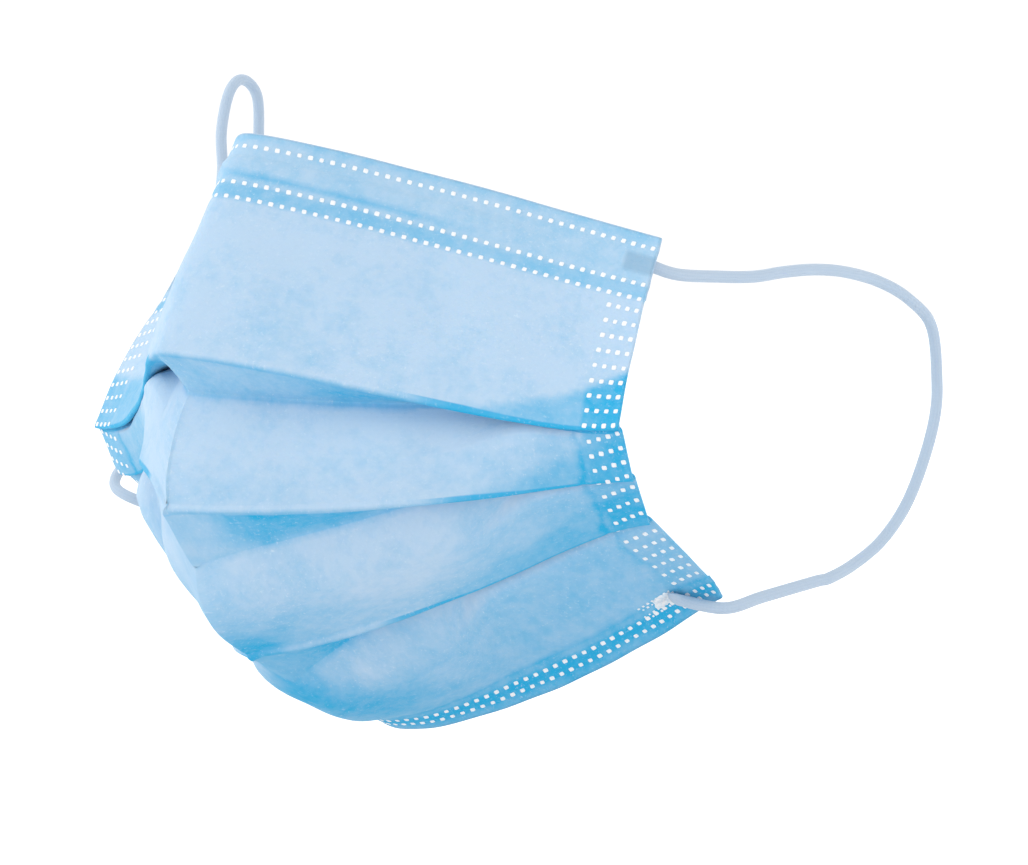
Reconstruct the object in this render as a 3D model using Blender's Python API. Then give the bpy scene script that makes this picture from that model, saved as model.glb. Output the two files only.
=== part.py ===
"""Pleated surgical face mask, opened as it is when worn.

Frame: +Z is the wearer's up, -Y is the front of the mask, +X is the wearer's left.
The origin is where the top edge rests on the bridge of the nose.

The cloth is one shell. Lines run across it from the centre to both side edges: the top edge, the lower
edge of the top band, three folds that face down, and the two lines of the bottom band. At each fold the
cloth turns back behind itself, runs to a valley and turns down again as the next panel. The valleys lie
under the panels above at the side edges, and drop into sight at the centre, where the pleats open.
Lengths in this file are millimetres until a mesh or a curve is made.
"""
import math
from collections import namedtuple

import bpy
import numpy as np

MM = 0.001

# Cloth
WALL = 1.0
LAYER_PITCH = 1.3
GAP = 0.3
END_HANDLE = 20.0
COLUMNS = 41

# Nose wire, inside the top band
WIRE_WIDTH = 3.0
WIRE_THICKNESS = 0.8
WIRE_REACH = 0.62
WIRE_PLACE = 0.5
POCKET_ENDS = (0.68, 0.82)

# Ear loops and their welds
CORD_DIAMETER = 2.4
CORD_STEP = 5.0
CORD_SIDES_LEVEL = 2
WELD_THICKNESS = 0.8
LOWER_WELD_LIFT = 0.5

# The cap of the nose lies this far behind the middle of the cloth's top edge
NOSE_SEAT = 2.1

# Lines across the cloth. centre: where the line crosses the middle. tip: how wide the bend over the nose
# and chin is. bulge and sag: how far the middle of each half swells outward and rises. end_bulge and
# end_sag: the same beside the side edge. end: where the line meets the side edge.
Rail = namedtuple("Rail", "name centre_y centre_z tip bulge sag end_bulge end_sag end_x end_y end_z")
RAILS = (
    Rail("top", 0.0, 0.0, 8.0, -7.0, 0.0, -9.0, 0.0, 67.5, 43.5, -24.0),
    Rail("band", -8.5, -11.5, 6.0, -7.5, 1.0, -8.0, -1.0, 69.0, 36.0, -35.5),
    Rail("fold_1", -26.0, -40.5, 6.0, -4.0, 1.5, -7.5, -5.5, 73.5, 22.0, -58.5),
    Rail("fold_2", -25.5, -71.0, 9.0, -0.5, -5.5, -6.0, 0.5, 70.5, 28.5, -69.0),
    Rail("fold_3", -6.0, -101.5, 10.0, -4.0, -6.5, -10.5, 3.0, 67.0, 36.5, -78.0),
    Rail("hem", 29.0, -117.5, 12.0, -6.0, -7.0, -11.0, 3.0, 67.5, 53.0, -90.0),
    Rail("bottom", 35.0, -120.5, 12.5, -6.0, -7.0, -11.0, 1.0, 67.0, 57.5, -94.5),
)

# Pleats. lap: how far the valley lies above its fold at the side edge. drop and recess: how far it lies
# below and behind the fold at the centre. closes_at: the share of the half width where it passes the fold.
Pleat = namedtuple("Pleat", "fold lap drop recess closes_at")
PLEATS = (
    Pleat("fold_1", 12.5, 6.0, 7.0, 0.58),
    Pleat("fold_2", 10.5, 12.5, 1.5, 0.59),
    Pleat("fold_3", 10.5, 10.5, 1.0, 0.36),
)

# Panels, top to bottom. hidden: rows of points behind the fold above. shown: rows below it. swell: how far
# the panel bulges at its middle.
Panel = namedtuple("Panel", "hidden shown swell")
PANELS = (Panel(0, 3, 1.0), Panel(1, 2, 2.0), Panel(1, 2, 3.0), Panel(1, 4, 3.0))
HIDDEN_SHARE = 0.45
RETURN_ROWS = 1
CENTRE_BLEND = 0.5

# Ear loop routes from the upper weld to the lower one
Stop = namedtuple("Stop", "x y z")
NEAR_LOOP = (
    Stop(66.5, 46.5, -31.0), Stop(67.0, 58.0, -32.0), Stop(67.5, 68.5, -32.5), Stop(67.5, 78.5, -32.0),
    Stop(67.5, 88.5, -32.0), Stop(67.5, 98.5, -33.0), Stop(67.5, 109.0, -35.5), Stop(68.0, 117.5, -39.0),
    Stop(68.0, 125.0, -45.0), Stop(67.5, 127.0, -56.5), Stop(68.0, 124.0, -64.0), Stop(68.0, 118.5, -73.0),
    Stop(68.0, 112.0, -81.0), Stop(68.0, 103.5, -87.0), Stop(67.5, 95.0, -91.0), Stop(68.5, 86.0, -93.0),
    Stop(68.5, 82.5, -94.0), Stop(69.5, 66.0, -95.5), Stop(68.0, 55.0, -96.5),
)
FAR_LOOP = (
    Stop(-66.5, 45.0, -25.0), Stop(-67.0, 47.0, -19.0), Stop(-65.0, 48.5, -12.0), Stop(-64.0, 49.0, -5.5),
    Stop(-64.5, 50.5, 3.0), Stop(-64.5, 54.0, 11.5), Stop(-65.5, 59.0, 13.5), Stop(-66.0, 63.5, 10.0),
    Stop(-67.0, 64.0, -0.5), Stop(-65.0, 61.5, -7.5), Stop(-65.0, 60.5, -15.0), Stop(-66.5, 60.0, -22.5),
    Stop(-68.0, 58.5, -30.0), Stop(-69.5, 57.0, -37.5), Stop(-72.0, 54.0, -44.5), Stop(-74.5, 51.5, -51.5),
    Stop(-77.5, 48.5, -58.0), Stop(-82.0, 44.5, -64.0), Stop(-85.5, 36.5, -68.5), Stop(-83.5, 32.5, -72.5),
    Stop(-77.5, 33.5, -75.5), Stop(-73.5, 41.0, -79.0), Stop(-71.5, 47.0, -81.5), Stop(-71.5, 54.0, -85.0),
    Stop(-71.0, 56.0, -93.5), Stop(-66.0, 55.0, -97.0),
)

ACROSS = np.linspace(-1.0, 1.0, COLUMNS)
UP = np.array([0.0, 0.0, 1.0])


def clear_scene():
    for thing in list(bpy.data.objects):
        bpy.data.objects.remove(thing, do_unlink=True)


def unit(vectors):
    return vectors / np.linalg.norm(vectors, axis=-1, keepdims=True)


def smooth_step(low, high, value):
    share = np.clip((value - low) / (high - low), 0.0, 1.0)
    return share * share * (3.0 - 2.0 * share)


def rail_line(rail, across):
    """Points of one line: a quartic curve from the centre to the edge, mirrored for the other half."""
    centre = np.array([0.0, rail.centre_y - NOSE_SEAT, rail.centre_z])
    end = np.array([rail.end_x, rail.end_y - NOSE_SEAT, rail.end_z])
    run = end - centre
    plan = unit(run * [1.0, 1.0, 0.0])
    outward = np.array([plan[1], -plan[0], 0.0])
    controls = (
        centre,
        centre + np.array([rail.tip, 0.0, 0.0]),
        (centre + end) / 2 + rail.bulge * outward + rail.sag * UP,
        end - END_HANDLE * unit(run) + rail.end_bulge * outward + rail.end_sag * UP,
        end,
    )
    share = np.abs(across)[:, None]
    line = sum(math.comb(4, k) * (1 - share) ** (4 - k) * share ** k * point
               for k, point in enumerate(controls))
    line[:, 0] *= np.where(across < 0, -1.0, 1.0)
    return line


def along(line):
    """Unit direction of a line, from the left edge to the right one."""
    return unit(np.gradient(line, axis=0))


def outer_lines(across):
    """Each named line with the cloth's down direction and outward direction beside it."""
    lines = [rail_line(rail, across) for rail in RAILS]
    found = {}
    for number, rail in enumerate(RAILS):
        above = lines[max(number - 1, 0)]
        below = lines[min(number + 1, len(lines) - 1)]
        down = unit(below - above)
        outward = unit(np.cross(down, along(lines[number])))
        found[rail.name] = (lines[number], down, outward)
    return found


def pleat_drop(pleat, share):
    """How far the valley lies below its fold: the parabola through centre, closing place and edge."""
    known = np.array([[pleat.closes_at, pleat.closes_at ** 2], [1.0, 1.0]])
    slope, curve = np.linalg.solve(known, np.array([-pleat.drop, -pleat.lap - pleat.drop]))
    return pleat.drop + slope * share + curve * share ** 2


def fold_middle(pleat, outer):
    line, _, outward = outer[pleat.fold]
    return line - outward * LAYER_PITCH / 2


def passing_line(pleat_above, panel_top, fold, outer, across):
    """The line a panel passes through behind the fold above it, and how closed that fold is."""
    passing = panel_top + (fold - panel_top) * HIDDEN_SHARE
    if pleat_above is None:
        return passing, np.zeros((len(across), 1))
    line, _, outward = outer[pleat_above.fold]
    closed = closed_share(pleat_above, across)
    return passing * (1 - closed) + (line - outward * 2.5 * LAYER_PITCH) * closed, closed


def valley_middle(pleat, outer, panel_line, across):
    """Middle of the upper turn: behind the panel above at the side edges, below the fold at the centre."""
    line, down, outward = outer[pleat.fold]
    centre_outward = outward[len(across) // 2]
    share = np.abs(across)
    spread = smooth_step(0.0, CENTRE_BLEND, share)[:, None]
    outward = unit(centre_outward * (1 - spread) + outward * spread)
    drop = pleat_drop(pleat, share)[:, None]
    panel_up = unit(panel_line - line)
    panel_outward = unit(np.cross(-panel_up, along(line)))
    closed = closed_share(pleat, across)
    behind = unit(outward * (1 - closed) + panel_outward * closed)
    recess = (pleat.recess * (1 - share ** 2) ** 1.5)[:, None]
    place = line + down * np.maximum(drop, 0.0) + panel_up * np.maximum(-drop, 0.0)
    return place - behind * (recess + 1.5 * LAYER_PITCH)


def turn(before, middle, after, side):
    """Three rows that take the cloth round a turn; side is 1 at a fold and -1 at a valley."""
    to_before, to_after = unit(before - middle), unit(after - middle)
    away = -(to_before + to_after) / 2
    sharpness = np.linalg.norm(away, axis=1, keepdims=True)
    straight = np.sqrt(np.clip(1 - sharpness ** 2, 0.0, 1.0))
    across_turn = side * np.cross(away, along(middle))
    radius = LAYER_PITCH / 2
    return [middle + radius * (across_turn + straight * to_before), middle + radius * away,
            middle + radius * (straight * to_after - across_turn)]


def between(first, last, rows):
    """Evenly spaced rows between two lines."""
    return [first + (last - first) * number / (rows + 1) for number in range(1, rows + 1)]


def closed_share(pleat, across):
    """0 where a pleat is open, 1 where its layers lie on each other."""
    return smooth_step(0.0, pleat.lap / 2, -pleat_drop(pleat, np.abs(across)))[:, None]


def panel_rows(first, passing, last, panel, closed, across):
    """Rows inside a panel, which swells outward where no fold covers it."""
    rows = between(first, passing, panel.hidden) + [passing] + between(passing, last, panel.shown)
    shares = [HIDDEN_SHARE * number / (panel.hidden + 1) for number in range(1, panel.hidden + 2)]
    shares += [HIDDEN_SHARE + (1 - HIDDEN_SHARE) * number / (panel.shown + 1)
               for number in range(1, panel.shown + 1)]
    fullness = panel.swell * (1 - across ** 4)[:, None]
    found = []
    for row, share in zip(rows, shares):
        outward = unit(np.cross(last - first, along(row)))
        free = 1 - closed if share <= HIDDEN_SHARE else 1.0
        found.append(row + outward * fullness * free * math.sin(math.pi * share))
    return found


def cloth_rows(across):
    """Rows of points down the cloth, from the top edge to the bottom edge."""
    outer = outer_lines(across)
    top, band = outer["top"][0], outer["band"][0]
    hem, bottom = outer["hem"][0], outer["bottom"][0]
    rows = [top] + between(top, band, 1) + [band]
    pleat_above = None
    for number, pleat in enumerate(PLEATS):
        panel_top = rows[-1]
        fold = fold_middle(pleat, outer)
        passing, closed = passing_line(pleat_above, panel_top, fold, outer, across)
        valley = valley_middle(pleat, outer, passing, across)
        after = fold_middle(PLEATS[number + 1], outer) if number + 1 < len(PLEATS) else hem
        fold_rows = turn(panel_top, fold, valley, 1)
        valley_rows = turn(fold, valley, after, -1)
        rows += panel_rows(panel_top, passing, fold_rows[0], PANELS[number], closed, across)
        rows += fold_rows + between(fold_rows[-1], valley_rows[0], RETURN_ROWS) + valley_rows
        pleat_above = pleat
    passing, closed = passing_line(pleat_above, rows[-1], hem, outer, across)
    rows += panel_rows(rows[-1], passing, hem, PANELS[-1], closed, across)
    rows += [hem] + between(hem, bottom, 1) + [bottom]
    return rows


def strip_rows(first, last, places, depths):
    """Rows beside the cloth between two of its lines, each moved inward by its depth."""
    outward = unit(np.cross(last - first, along((first + last) / 2)))
    return [first * (1 - place) + last * place - outward * np.asarray(depth).reshape(-1, 1)
            for place, depth in zip(places, depths)]


def make_material(name, colour, roughness):
    material = bpy.data.materials.new(name)
    material.use_nodes = True
    shader = material.node_tree.nodes["Principled BSDF"]
    shader.inputs["Base Color"].default_value = (*colour, 1.0)
    shader.inputs["Roughness"].default_value = roughness
    shader.inputs["Metallic"].default_value = 0.0
    return material


def add_object(name, data, material):
    thing = bpy.data.objects.new(name, data)
    bpy.context.scene.collection.objects.link(thing)
    data.materials.append(material)
    return thing


def add_strip(name, rows, thickness, material):
    """A strip of cloth or wire: its middle surface, given thickness on both sides."""
    rows = [np.asarray(row) * MM for row in rows]
    columns = len(rows[0])
    points = [tuple(point) for row in rows for point in row]
    faces = []
    for down in range(len(rows) - 1):
        for over in range(columns - 1):
            start = down * columns + over
            faces.append((start, start + columns, start + columns + 1, start + 1))
    mesh = bpy.data.meshes.new(name)
    mesh.from_pydata(points, [], faces)
    thing = add_object(name, mesh, material)
    solid = thing.modifiers.new("thickness", "SOLIDIFY")
    solid.thickness = thickness * MM
    solid.offset = 0.0
    mesh.shade_smooth()
    return thing


def add_mask_body(material):
    return add_strip("mask_body", cloth_rows(ACROSS), WALL, material)


def band_depth():
    """How deep the middle of a band's cloth lies behind the middle of the body's cloth."""
    return WALL + GAP


def add_top_band(outer, material):
    """The turned-in strip behind the top edge, raised over the nose wire."""
    top, band = outer["top"][0], outer["band"][0]
    half_wire = WIRE_WIDTH / 2 / np.linalg.norm(band[COLUMNS // 2] - top[COLUMNS // 2])
    clear, slope = half_wire + 0.05, half_wire + 0.15
    open_pocket = 1 - smooth_step(*POCKET_ENDS, np.abs(ACROSS))
    flat = np.full(COLUMNS, band_depth())
    raised = flat + (WIRE_THICKNESS + GAP) * open_pocket
    places = (0.02, WIRE_PLACE - slope, WIRE_PLACE - clear, WIRE_PLACE + clear, WIRE_PLACE + slope, 0.98)
    depths = (flat, flat, raised, raised, flat, flat)
    return add_strip("top_band", strip_rows(top, band, places, depths), WALL, material)


def add_bottom_band(outer, material):
    """The turned-in strip behind the bottom edge."""
    flat = np.full(COLUMNS, band_depth())
    rows = strip_rows(outer["hem"][0], outer["bottom"][0], (0.04, 0.5, 0.97), (flat, flat, flat))
    return add_strip("bottom_band", rows, WALL, material)


def add_nose_wire(material):
    """The flat wire in the pocket between the body and the top band."""
    across = ACROSS[np.abs(ACROSS) <= WIRE_REACH]
    outer = outer_lines(across)
    top, band = outer["top"][0], outer["band"][0]
    half_wire = WIRE_WIDTH / 2 / np.linalg.norm(band[len(across) // 2] - top[len(across) // 2])
    depth = np.full(len(across), WALL / 2 + GAP + WIRE_THICKNESS / 2)
    places = (WIRE_PLACE - half_wire, WIRE_PLACE + half_wire)
    return add_strip("nose_wire", strip_rows(top, band, places, (depth, depth)), WIRE_THICKNESS, material)


def edge_place(outer_names, across_place, line_place, depth):
    """One point beside the cloth near its right-hand side edge."""
    across = np.linspace(across_place - 0.01, across_place + 0.01, 3)
    outer = outer_lines(across)
    first, last = (outer[name][0] for name in outer_names)
    return strip_rows(first, last, (line_place,), (np.full(3, depth),))[0][1]


# Each weld: the lines it lies between, its stretch across and between them, the depth of its own middle and
# of the cord's middle, and where the cord starts beside it (across, between the lines).
# The upper weld is behind the cloth and the band, the lower one on the outside.
Weld = namedtuple("Weld", "name lines across places weld_depth cord_depth cord_start")
INNER_FACE = band_depth() + WALL / 2 + GAP
OUTER_FACE = -(WALL / 2 + GAP + LOWER_WELD_LIFT)
WELDS = (
    Weld("upper", ("top", "band"), (0.885, 0.955), (0.23, 0.49), INNER_FACE + WELD_THICKNESS / 2,
         INNER_FACE + CORD_DIAMETER / 2, (0.966, 0.36)),
    Weld("lower", ("hem", "bottom"), (0.800, 0.875), (-0.20, 0.40), OUTER_FACE - WELD_THICKNESS / 2,
         OUTER_FACE - CORD_DIAMETER / 2, (0.886, 0.20)),
)


def add_weld(weld, side_name, side, material):
    """The pressed flat end of an ear loop."""
    across = np.linspace(*weld.across, 5)
    outer = outer_lines(across)
    first, last = (outer[name][0] for name in weld.lines)
    places = np.linspace(*weld.places, 3)
    depth = np.full(len(across), weld.weld_depth)
    rows = strip_rows(first, last, places, [depth] * len(places))
    if side < 0:
        rows = [(row * [-1.0, 1.0, 1.0])[::-1] for row in rows]
    return add_strip(f"weld_{weld.name}_{side_name}", rows, WELD_THICKNESS, material)


def loop_end(weld, side):
    """Where the cord starts, beside its weld."""
    return edge_place(weld.lines, *weld.cord_start, weld.cord_depth) * [side, 1.0, 1.0]


def smooth_route(stops, step):
    """Evenly spaced points on the smooth curve through the stops."""
    stops = np.asarray(stops)
    padded = np.vstack([2 * stops[0] - stops[1], stops, 2 * stops[-1] - stops[-2]])
    fine = []
    for before, start, end, after in zip(padded, padded[1:], padded[2:], padded[3:]):
        for share in np.linspace(0.0, 1.0, 12, endpoint=False):
            fine.append(0.5 * (2 * start + (end - before) * share
                               + (2 * before - 5 * start + 4 * end - after) * share ** 2
                               + (3 * start - before - 3 * end + after) * share ** 3))
    fine = np.vstack([fine, stops[-1]])
    run = np.concatenate([[0.0], np.cumsum(np.linalg.norm(np.diff(fine, axis=0), axis=1))])
    places = np.linspace(0.0, run[-1], round(run[-1] / step) + 1)
    return np.column_stack([np.interp(places, run, fine[:, axis]) for axis in range(3)])


def add_ear_loop(side_name, side, stops, material):
    upper, lower = WELDS
    route = [loop_end(upper, side), *stops, loop_end(lower, side)]
    points = smooth_route(route, CORD_STEP)
    curve = bpy.data.curves.new(f"ear_loop_{side_name}", "CURVE")
    curve.dimensions = "3D"
    curve.bevel_depth = CORD_DIAMETER / 2 * MM
    curve.bevel_resolution = CORD_SIDES_LEVEL
    curve.use_fill_caps = True
    spline = curve.splines.new("POLY")
    spline.points.add(len(points) - 1)
    for place, point in zip(spline.points, points):
        place.co = (*(point * MM), 1.0)
    return add_object(f"ear_loop_{side_name}", curve, material)


def main():
    clear_scene()
    cloth = make_material("blue_nonwoven", (0.36, 0.66, 0.86), 0.75)
    band_cloth = make_material("band_nonwoven", (0.50, 0.74, 0.90), 0.75)
    wire = make_material("nose_wire", (0.85, 0.87, 0.90), 0.45)
    elastic = make_material("elastic", (0.74, 0.80, 0.88), 0.8)
    melted = make_material("melted_elastic", (0.80, 0.85, 0.92), 0.5)
    outer = outer_lines(ACROSS)
    add_mask_body(cloth)
    add_top_band(outer, band_cloth)
    add_bottom_band(outer, band_cloth)
    add_nose_wire(wire)
    for side_name, side, stops in (("left", 1, NEAR_LOOP), ("right", -1, FAR_LOOP)):
        for weld in WELDS:
            add_weld(weld, side_name, side, melted)
        add_ear_loop(side_name, side, stops, elastic)


main()
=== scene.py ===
"""Looks of the pleated surgical face mask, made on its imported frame.

The cloth is drawn as it is cut and folded: lines run across it, the pleats turn back behind themselves,
and every ply, bonded dot, band and ear loop is placed on that cloth. Lengths are millimetres until a mesh
is made.
"""
import math
from collections import namedtuple

import bmesh
import bpy
import numpy as np
from mathutils import Matrix, Vector


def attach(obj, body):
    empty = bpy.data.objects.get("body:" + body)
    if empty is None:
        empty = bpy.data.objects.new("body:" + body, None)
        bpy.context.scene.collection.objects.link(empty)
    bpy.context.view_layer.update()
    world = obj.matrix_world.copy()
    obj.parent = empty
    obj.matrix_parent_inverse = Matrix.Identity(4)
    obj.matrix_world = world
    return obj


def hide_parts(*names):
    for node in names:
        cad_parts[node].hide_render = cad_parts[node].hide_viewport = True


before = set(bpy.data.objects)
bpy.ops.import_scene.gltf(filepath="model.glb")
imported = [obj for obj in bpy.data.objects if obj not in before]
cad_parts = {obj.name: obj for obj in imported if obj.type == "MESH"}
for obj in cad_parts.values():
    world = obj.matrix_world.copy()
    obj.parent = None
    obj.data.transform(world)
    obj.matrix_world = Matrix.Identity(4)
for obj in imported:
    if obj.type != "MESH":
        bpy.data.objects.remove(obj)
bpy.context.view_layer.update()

MM = 0.001
UP = np.array([0.0, 0.0, 1.0])

# The cut cloth, and its layers where pleats lie open, closed and pressed together in the side seam
FLAT_WIDTH = 175.0
PLIES = 0.42
PITCH_OPEN = 1.7
PITCH_CLOSED = 0.85
PITCH_SEAM = 0.56
SEAM_WIDTH = 8.2
CHIN_SEAM_WIDER = 1.3
CHIN_ROWS = 4
SEAM_EDGE = (0.8, 0.9)
SEAM_PRESS = 0.8
END_HANDLE = 20.0
NOSE_SEAT = 2.1
ROW_STEP = 1.3
BAND_ROW_STEP = 0.55
TURN_STEPS = 3

# Columns of points in one half of the cloth: the panel's and the side seam's
PANEL_COLUMNS = 80
SEAM_COLUMNS = 22
SEAM_START = 0.885

# Lines across the cloth: as in the part, but for the sag of the top and bottom lines
Rail = namedtuple("Rail", "name centre_y centre_z tip bulge sag end_bulge end_sag end_x end_y end_z")
RAILS = (
    Rail("top", 0.0, 0.0, 8.0, -7.0, 1.4, -9.0, 0.0, 67.5, 43.5, -24.0),
    Rail("band", -8.5, -11.5, 6.0, -7.5, 1.0, -8.0, -1.0, 69.0, 36.0, -35.5),
    Rail("fold_1", -26.0, -40.5, 6.0, -4.0, 1.5, -7.5, -5.5, 73.5, 22.0, -58.5),
    Rail("fold_2", -25.5, -71.0, 9.0, -0.5, -5.5, -6.0, 0.5, 70.5, 28.5, -69.0),
    Rail("fold_3", -6.0, -101.5, 10.0, -4.0, -6.5, -10.5, 3.0, 67.0, 36.5, -78.0),
    Rail("hem", 29.0, -117.5, 12.0, -6.0, -7.0, -11.0, 3.0, 67.5, 53.0, -90.0),
    Rail("bottom", 35.0, -120.5, 12.5, -6.0, -9.5, -11.0, 0.5, 67.0, 57.5, -94.5),
)
Pleat = namedtuple("Pleat", "fold lap drop recess closes_at far_closes_at")
PLEATS = (
    Pleat("fold_1", 12.5, 6.0, 7.0, 0.58, 0.16),
    Pleat("fold_2", 10.5, 12.5, 1.5, 0.59, 0.14),
    Pleat("fold_3", 10.5, 13.0, 1.0, 0.40, 0.30),
)
# The mask was opened by hand: in the half away from the camera the second fold is pulled up
FAR_RISE = 10.8
FAR_RISE_REACH = (0.15, 0.60, 0.95)
Panel = namedtuple("Panel", "hidden shown swell")
PANELS = (Panel(0, 6, 1.0), Panel(3, 5, 2.0), Panel(3, 5, 3.0), Panel(3, 7, 3.0))
# How a panel lies behind the fold above it: the share of it that is hidden, how many layers behind the
# fold it passes and its valley lies, and where across the layers start to be pressed
HIDDEN_SHARE = 0.45
PASSING_LAYERS = 2.5
VALLEY_LAYERS = 1.5
PRESSED_FROM = (0.84, 0.93)
PASSING_STEPS = 5
TOP_CONTROLS, BOTTOM_CONTROLS = 3, 2
FAR_RISE_POWER, RECESS_POWER, SWELL_POWER = 1.3, 1.5, 4
RETURN_ROWS = 2
CENTRE_BLEND = 0.5

# Ear loops: the x, y and z of each place from the upper weld to the lower one
NEAR_LOOP = (
    (66.5, 46.5, -31.0), (67.0, 58.0, -32.0), (67.5, 68.5, -32.5), (67.5, 78.5, -32.0),
    (67.5, 88.5, -32.0), (67.5, 98.5, -33.0), (67.5, 109.0, -35.5), (68.0, 117.2, -39.4),
    (68.0, 124.6, -45.4), (67.5, 127.2, -56.5), (68.0, 124.6, -64.3), (68.0, 119.4, -73.6),
    (68.0, 113.0, -81.8), (68.0, 104.4, -88.0), (67.5, 95.6, -91.9), (68.5, 86.4, -93.7),
    (68.5, 82.5, -94.0), (69.5, 66.0, -95.5), (68.0, 55.0, -96.5),
)
FAR_LOOP = (
    (-66.5, 45.4, -25.0), (-67.0, 48.0, -19.0), (-65.0, 49.6, -12.0), (-64.0, 50.2, -5.5),
    (-64.5, 51.0, 3.0), (-64.5, 54.0, 11.3), (-65.5, 59.0, 14.0), (-66.0, 63.5, 10.2),
    (-67.0, 64.0, -0.5), (-65.0, 61.5, -7.5), (-65.0, 60.5, -15.0), (-66.5, 60.0, -22.5),
    (-68.0, 58.5, -30.0), (-69.5, 57.0, -37.5), (-72.0, 54.0, -44.5), (-74.5, 51.5, -51.5),
    (-77.5, 48.5, -58.0), (-82.0, 44.5, -64.0), (-85.5, 36.5, -68.5), (-83.5, 32.5, -72.5),
    (-77.5, 33.5, -75.5), (-73.5, 41.0, -79.0), (-71.5, 47.0, -81.5), (-71.5, 54.0, -85.0),
    (-71.0, 56.0, -93.5), (-66.0, 55.0, -97.0),
)
CORD_DIAMETER = 2.4
CORD_STEP = 0.7
CORD_SIDES = 16
ROUTE_STEPS = 12
LEAST_STEP = 0.2
# Where a cord is melted in: the reach of the melt, how much wider and flatter it is, and its seat
MELT_REACH = (0.5, 4.5)
MELT_WIDER, MELT_FLATTER = 0.45, 0.55
CORD_PRESSED = 0.62
BEHIND_GAP = 0.35

# Welds: the lines each lies between, its stretch across and between them, where the cord starts and where it
# crosses the side edge, and the side of the cloth that it is on (1 is inside)
Weld = namedtuple("Weld", "name lines across places cord_places inside")
WELDS = (
    Weld("upper", ("top", "band"), (0.885, 0.955), (0.23, 0.49), ((0.945, 0.36), (0.966, 0.36)), 1),
    Weld("lower", ("hem", "bottom"), (0.806, 0.872), (-0.14, 0.28), ((0.868, 0.12), (0.886, 0.20)), -1),
)

# The nose wire in its pocket
WIRE_WIDTH = 3.0
WIRE_BAND_WIDTH = 13.6
WIRE_THICKNESS = 0.5
WIRE_ROWS = 7
WIRE_GAP = 0.06
WIRE_TAPER = (0.55, 0.82, 0.95)
WIRE_EDGE = 0.12
WIRE_REACH = 0.62
WIRE_PLACE = 0.5
WIRE_RIDGE = 0.55
RIDGE_FLAT, BAND_RIDGE_FLAT, RIDGE_FALL = 0.6, 0.7, 3.0
POCKET_ENDS = (0.60, 0.74)

# The turned-in bands: how the strip rolls over the cloth's edge (place between the lines, depth inside it)
BAND_PLY = 0.34
BAND_PRESS = 0.3
BAND_ROWS = (0.05, 0.98, 26)
BAND_GAP = 0.05
RIDGE_CLEAR = 0.12
BAND_CUT = 0.08
EDGE_ROLL = ((0.006, -0.04), (-0.006, -0.10), (-0.017, 0.0), (-0.017, 0.20), (-0.004, 0.38), (0.020, 0.43))

# The weld pads: their height, their grid, and their outline (swing, waves round it and phase)
WELD_HEIGHT = 0.5
LOWER_WELD_HEIGHT = 0.3
WELD_RINGS, WELD_SECTORS = 9, 44
WELD_SEEDS = (5, 9)
WELD_ROUNDNESS = 3.4
WELD_OUTLINE = ((0.05, 3, 1), (0.04, 7, 0))
WELD_CENTRE = 0.02
WELD_DOME = 5
WELD_ROUGHNESS = 0.07
WELD_RIM_SUNK = 0.08
WELD_PLY = 0.2
WELD_GAP = 0.1

# Where a loop's end shows through the cloth: its inner end across, its reach down the band, its soft edges
LOOP_SHOWS = (0.928, 0.33, 0.60)
SHOWS_EDGES = ((-0.006, 0.004), (-0.05, 0.03), (-0.03, 0.05))

# Bonded dots
DOT_RINGS = ((0.50, -0.20), (0.48, 0.045), (0.38, 0.085), (0.20, 0.055))
DOT_DISH = 0.045
DOT_SECTORS = 16
DOT_ROUNDNESS = 5
DOT_WIDTH = 0.94
DOT_SPREAD, WELD_DOT_SPREAD, DOT_TURN = 0.08, 0.25, 0.10
DOT_LIFT, INSIDE_DOT_LIFT, WELD_DOT_LIFT = 0.03, 0.06, -0.01
SIZE_SEED = 7.0
ROW_PITCH = 2.2
INSIDE_DOT_GAP = 1.4
WELD_DOT_WIDTH = 0.5
WELD_DOTS_ACROSS = (0.770, 0.868)
WELD_DOTS_SHARE = (-0.12, 0.0, 0.24, 0.36)
WELD_DOTS_COLUMNS = 8
CHANNEL_DEPTH = 0.16
CHANNEL_WIDTH = 0.75
CHANNEL_ROWS = 8
TOP_ROWS = (0.19, 0.77, 1.0)
BOTTOM_ROWS = (0.33, 0.64)

# Blocks of rows in the side seam: the line they are counted from, the first row's distance, their pitch and
# number, how far a row drops for each mm from the side edge, and the columns' distances from that edge
Block = namedtuple("Block", "start first pitch rows tilt columns")
SEAM_MIDDLE = 8
TILT_FROM = 4.0
SIDE_BLOCKS = (
    Block("turn_0", -26.3, 3.15, 9, 0.0, (1.0, 3.0, 5.0, 7.0)),
    Block("passing_1", 1.6, 3.15, 4, 0.26, (1.0, 3.0, 5.0, 7.0)),
    Block("passing_2", 3.5, 3.7, 3, 0.22, (1.0, 3.0, 5.0, 7.0)),
    Block("passing_3", 0.8, 3.05, 7, 0.05, (1.4, 3.7, 6.0, 8.3)),
)

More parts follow.
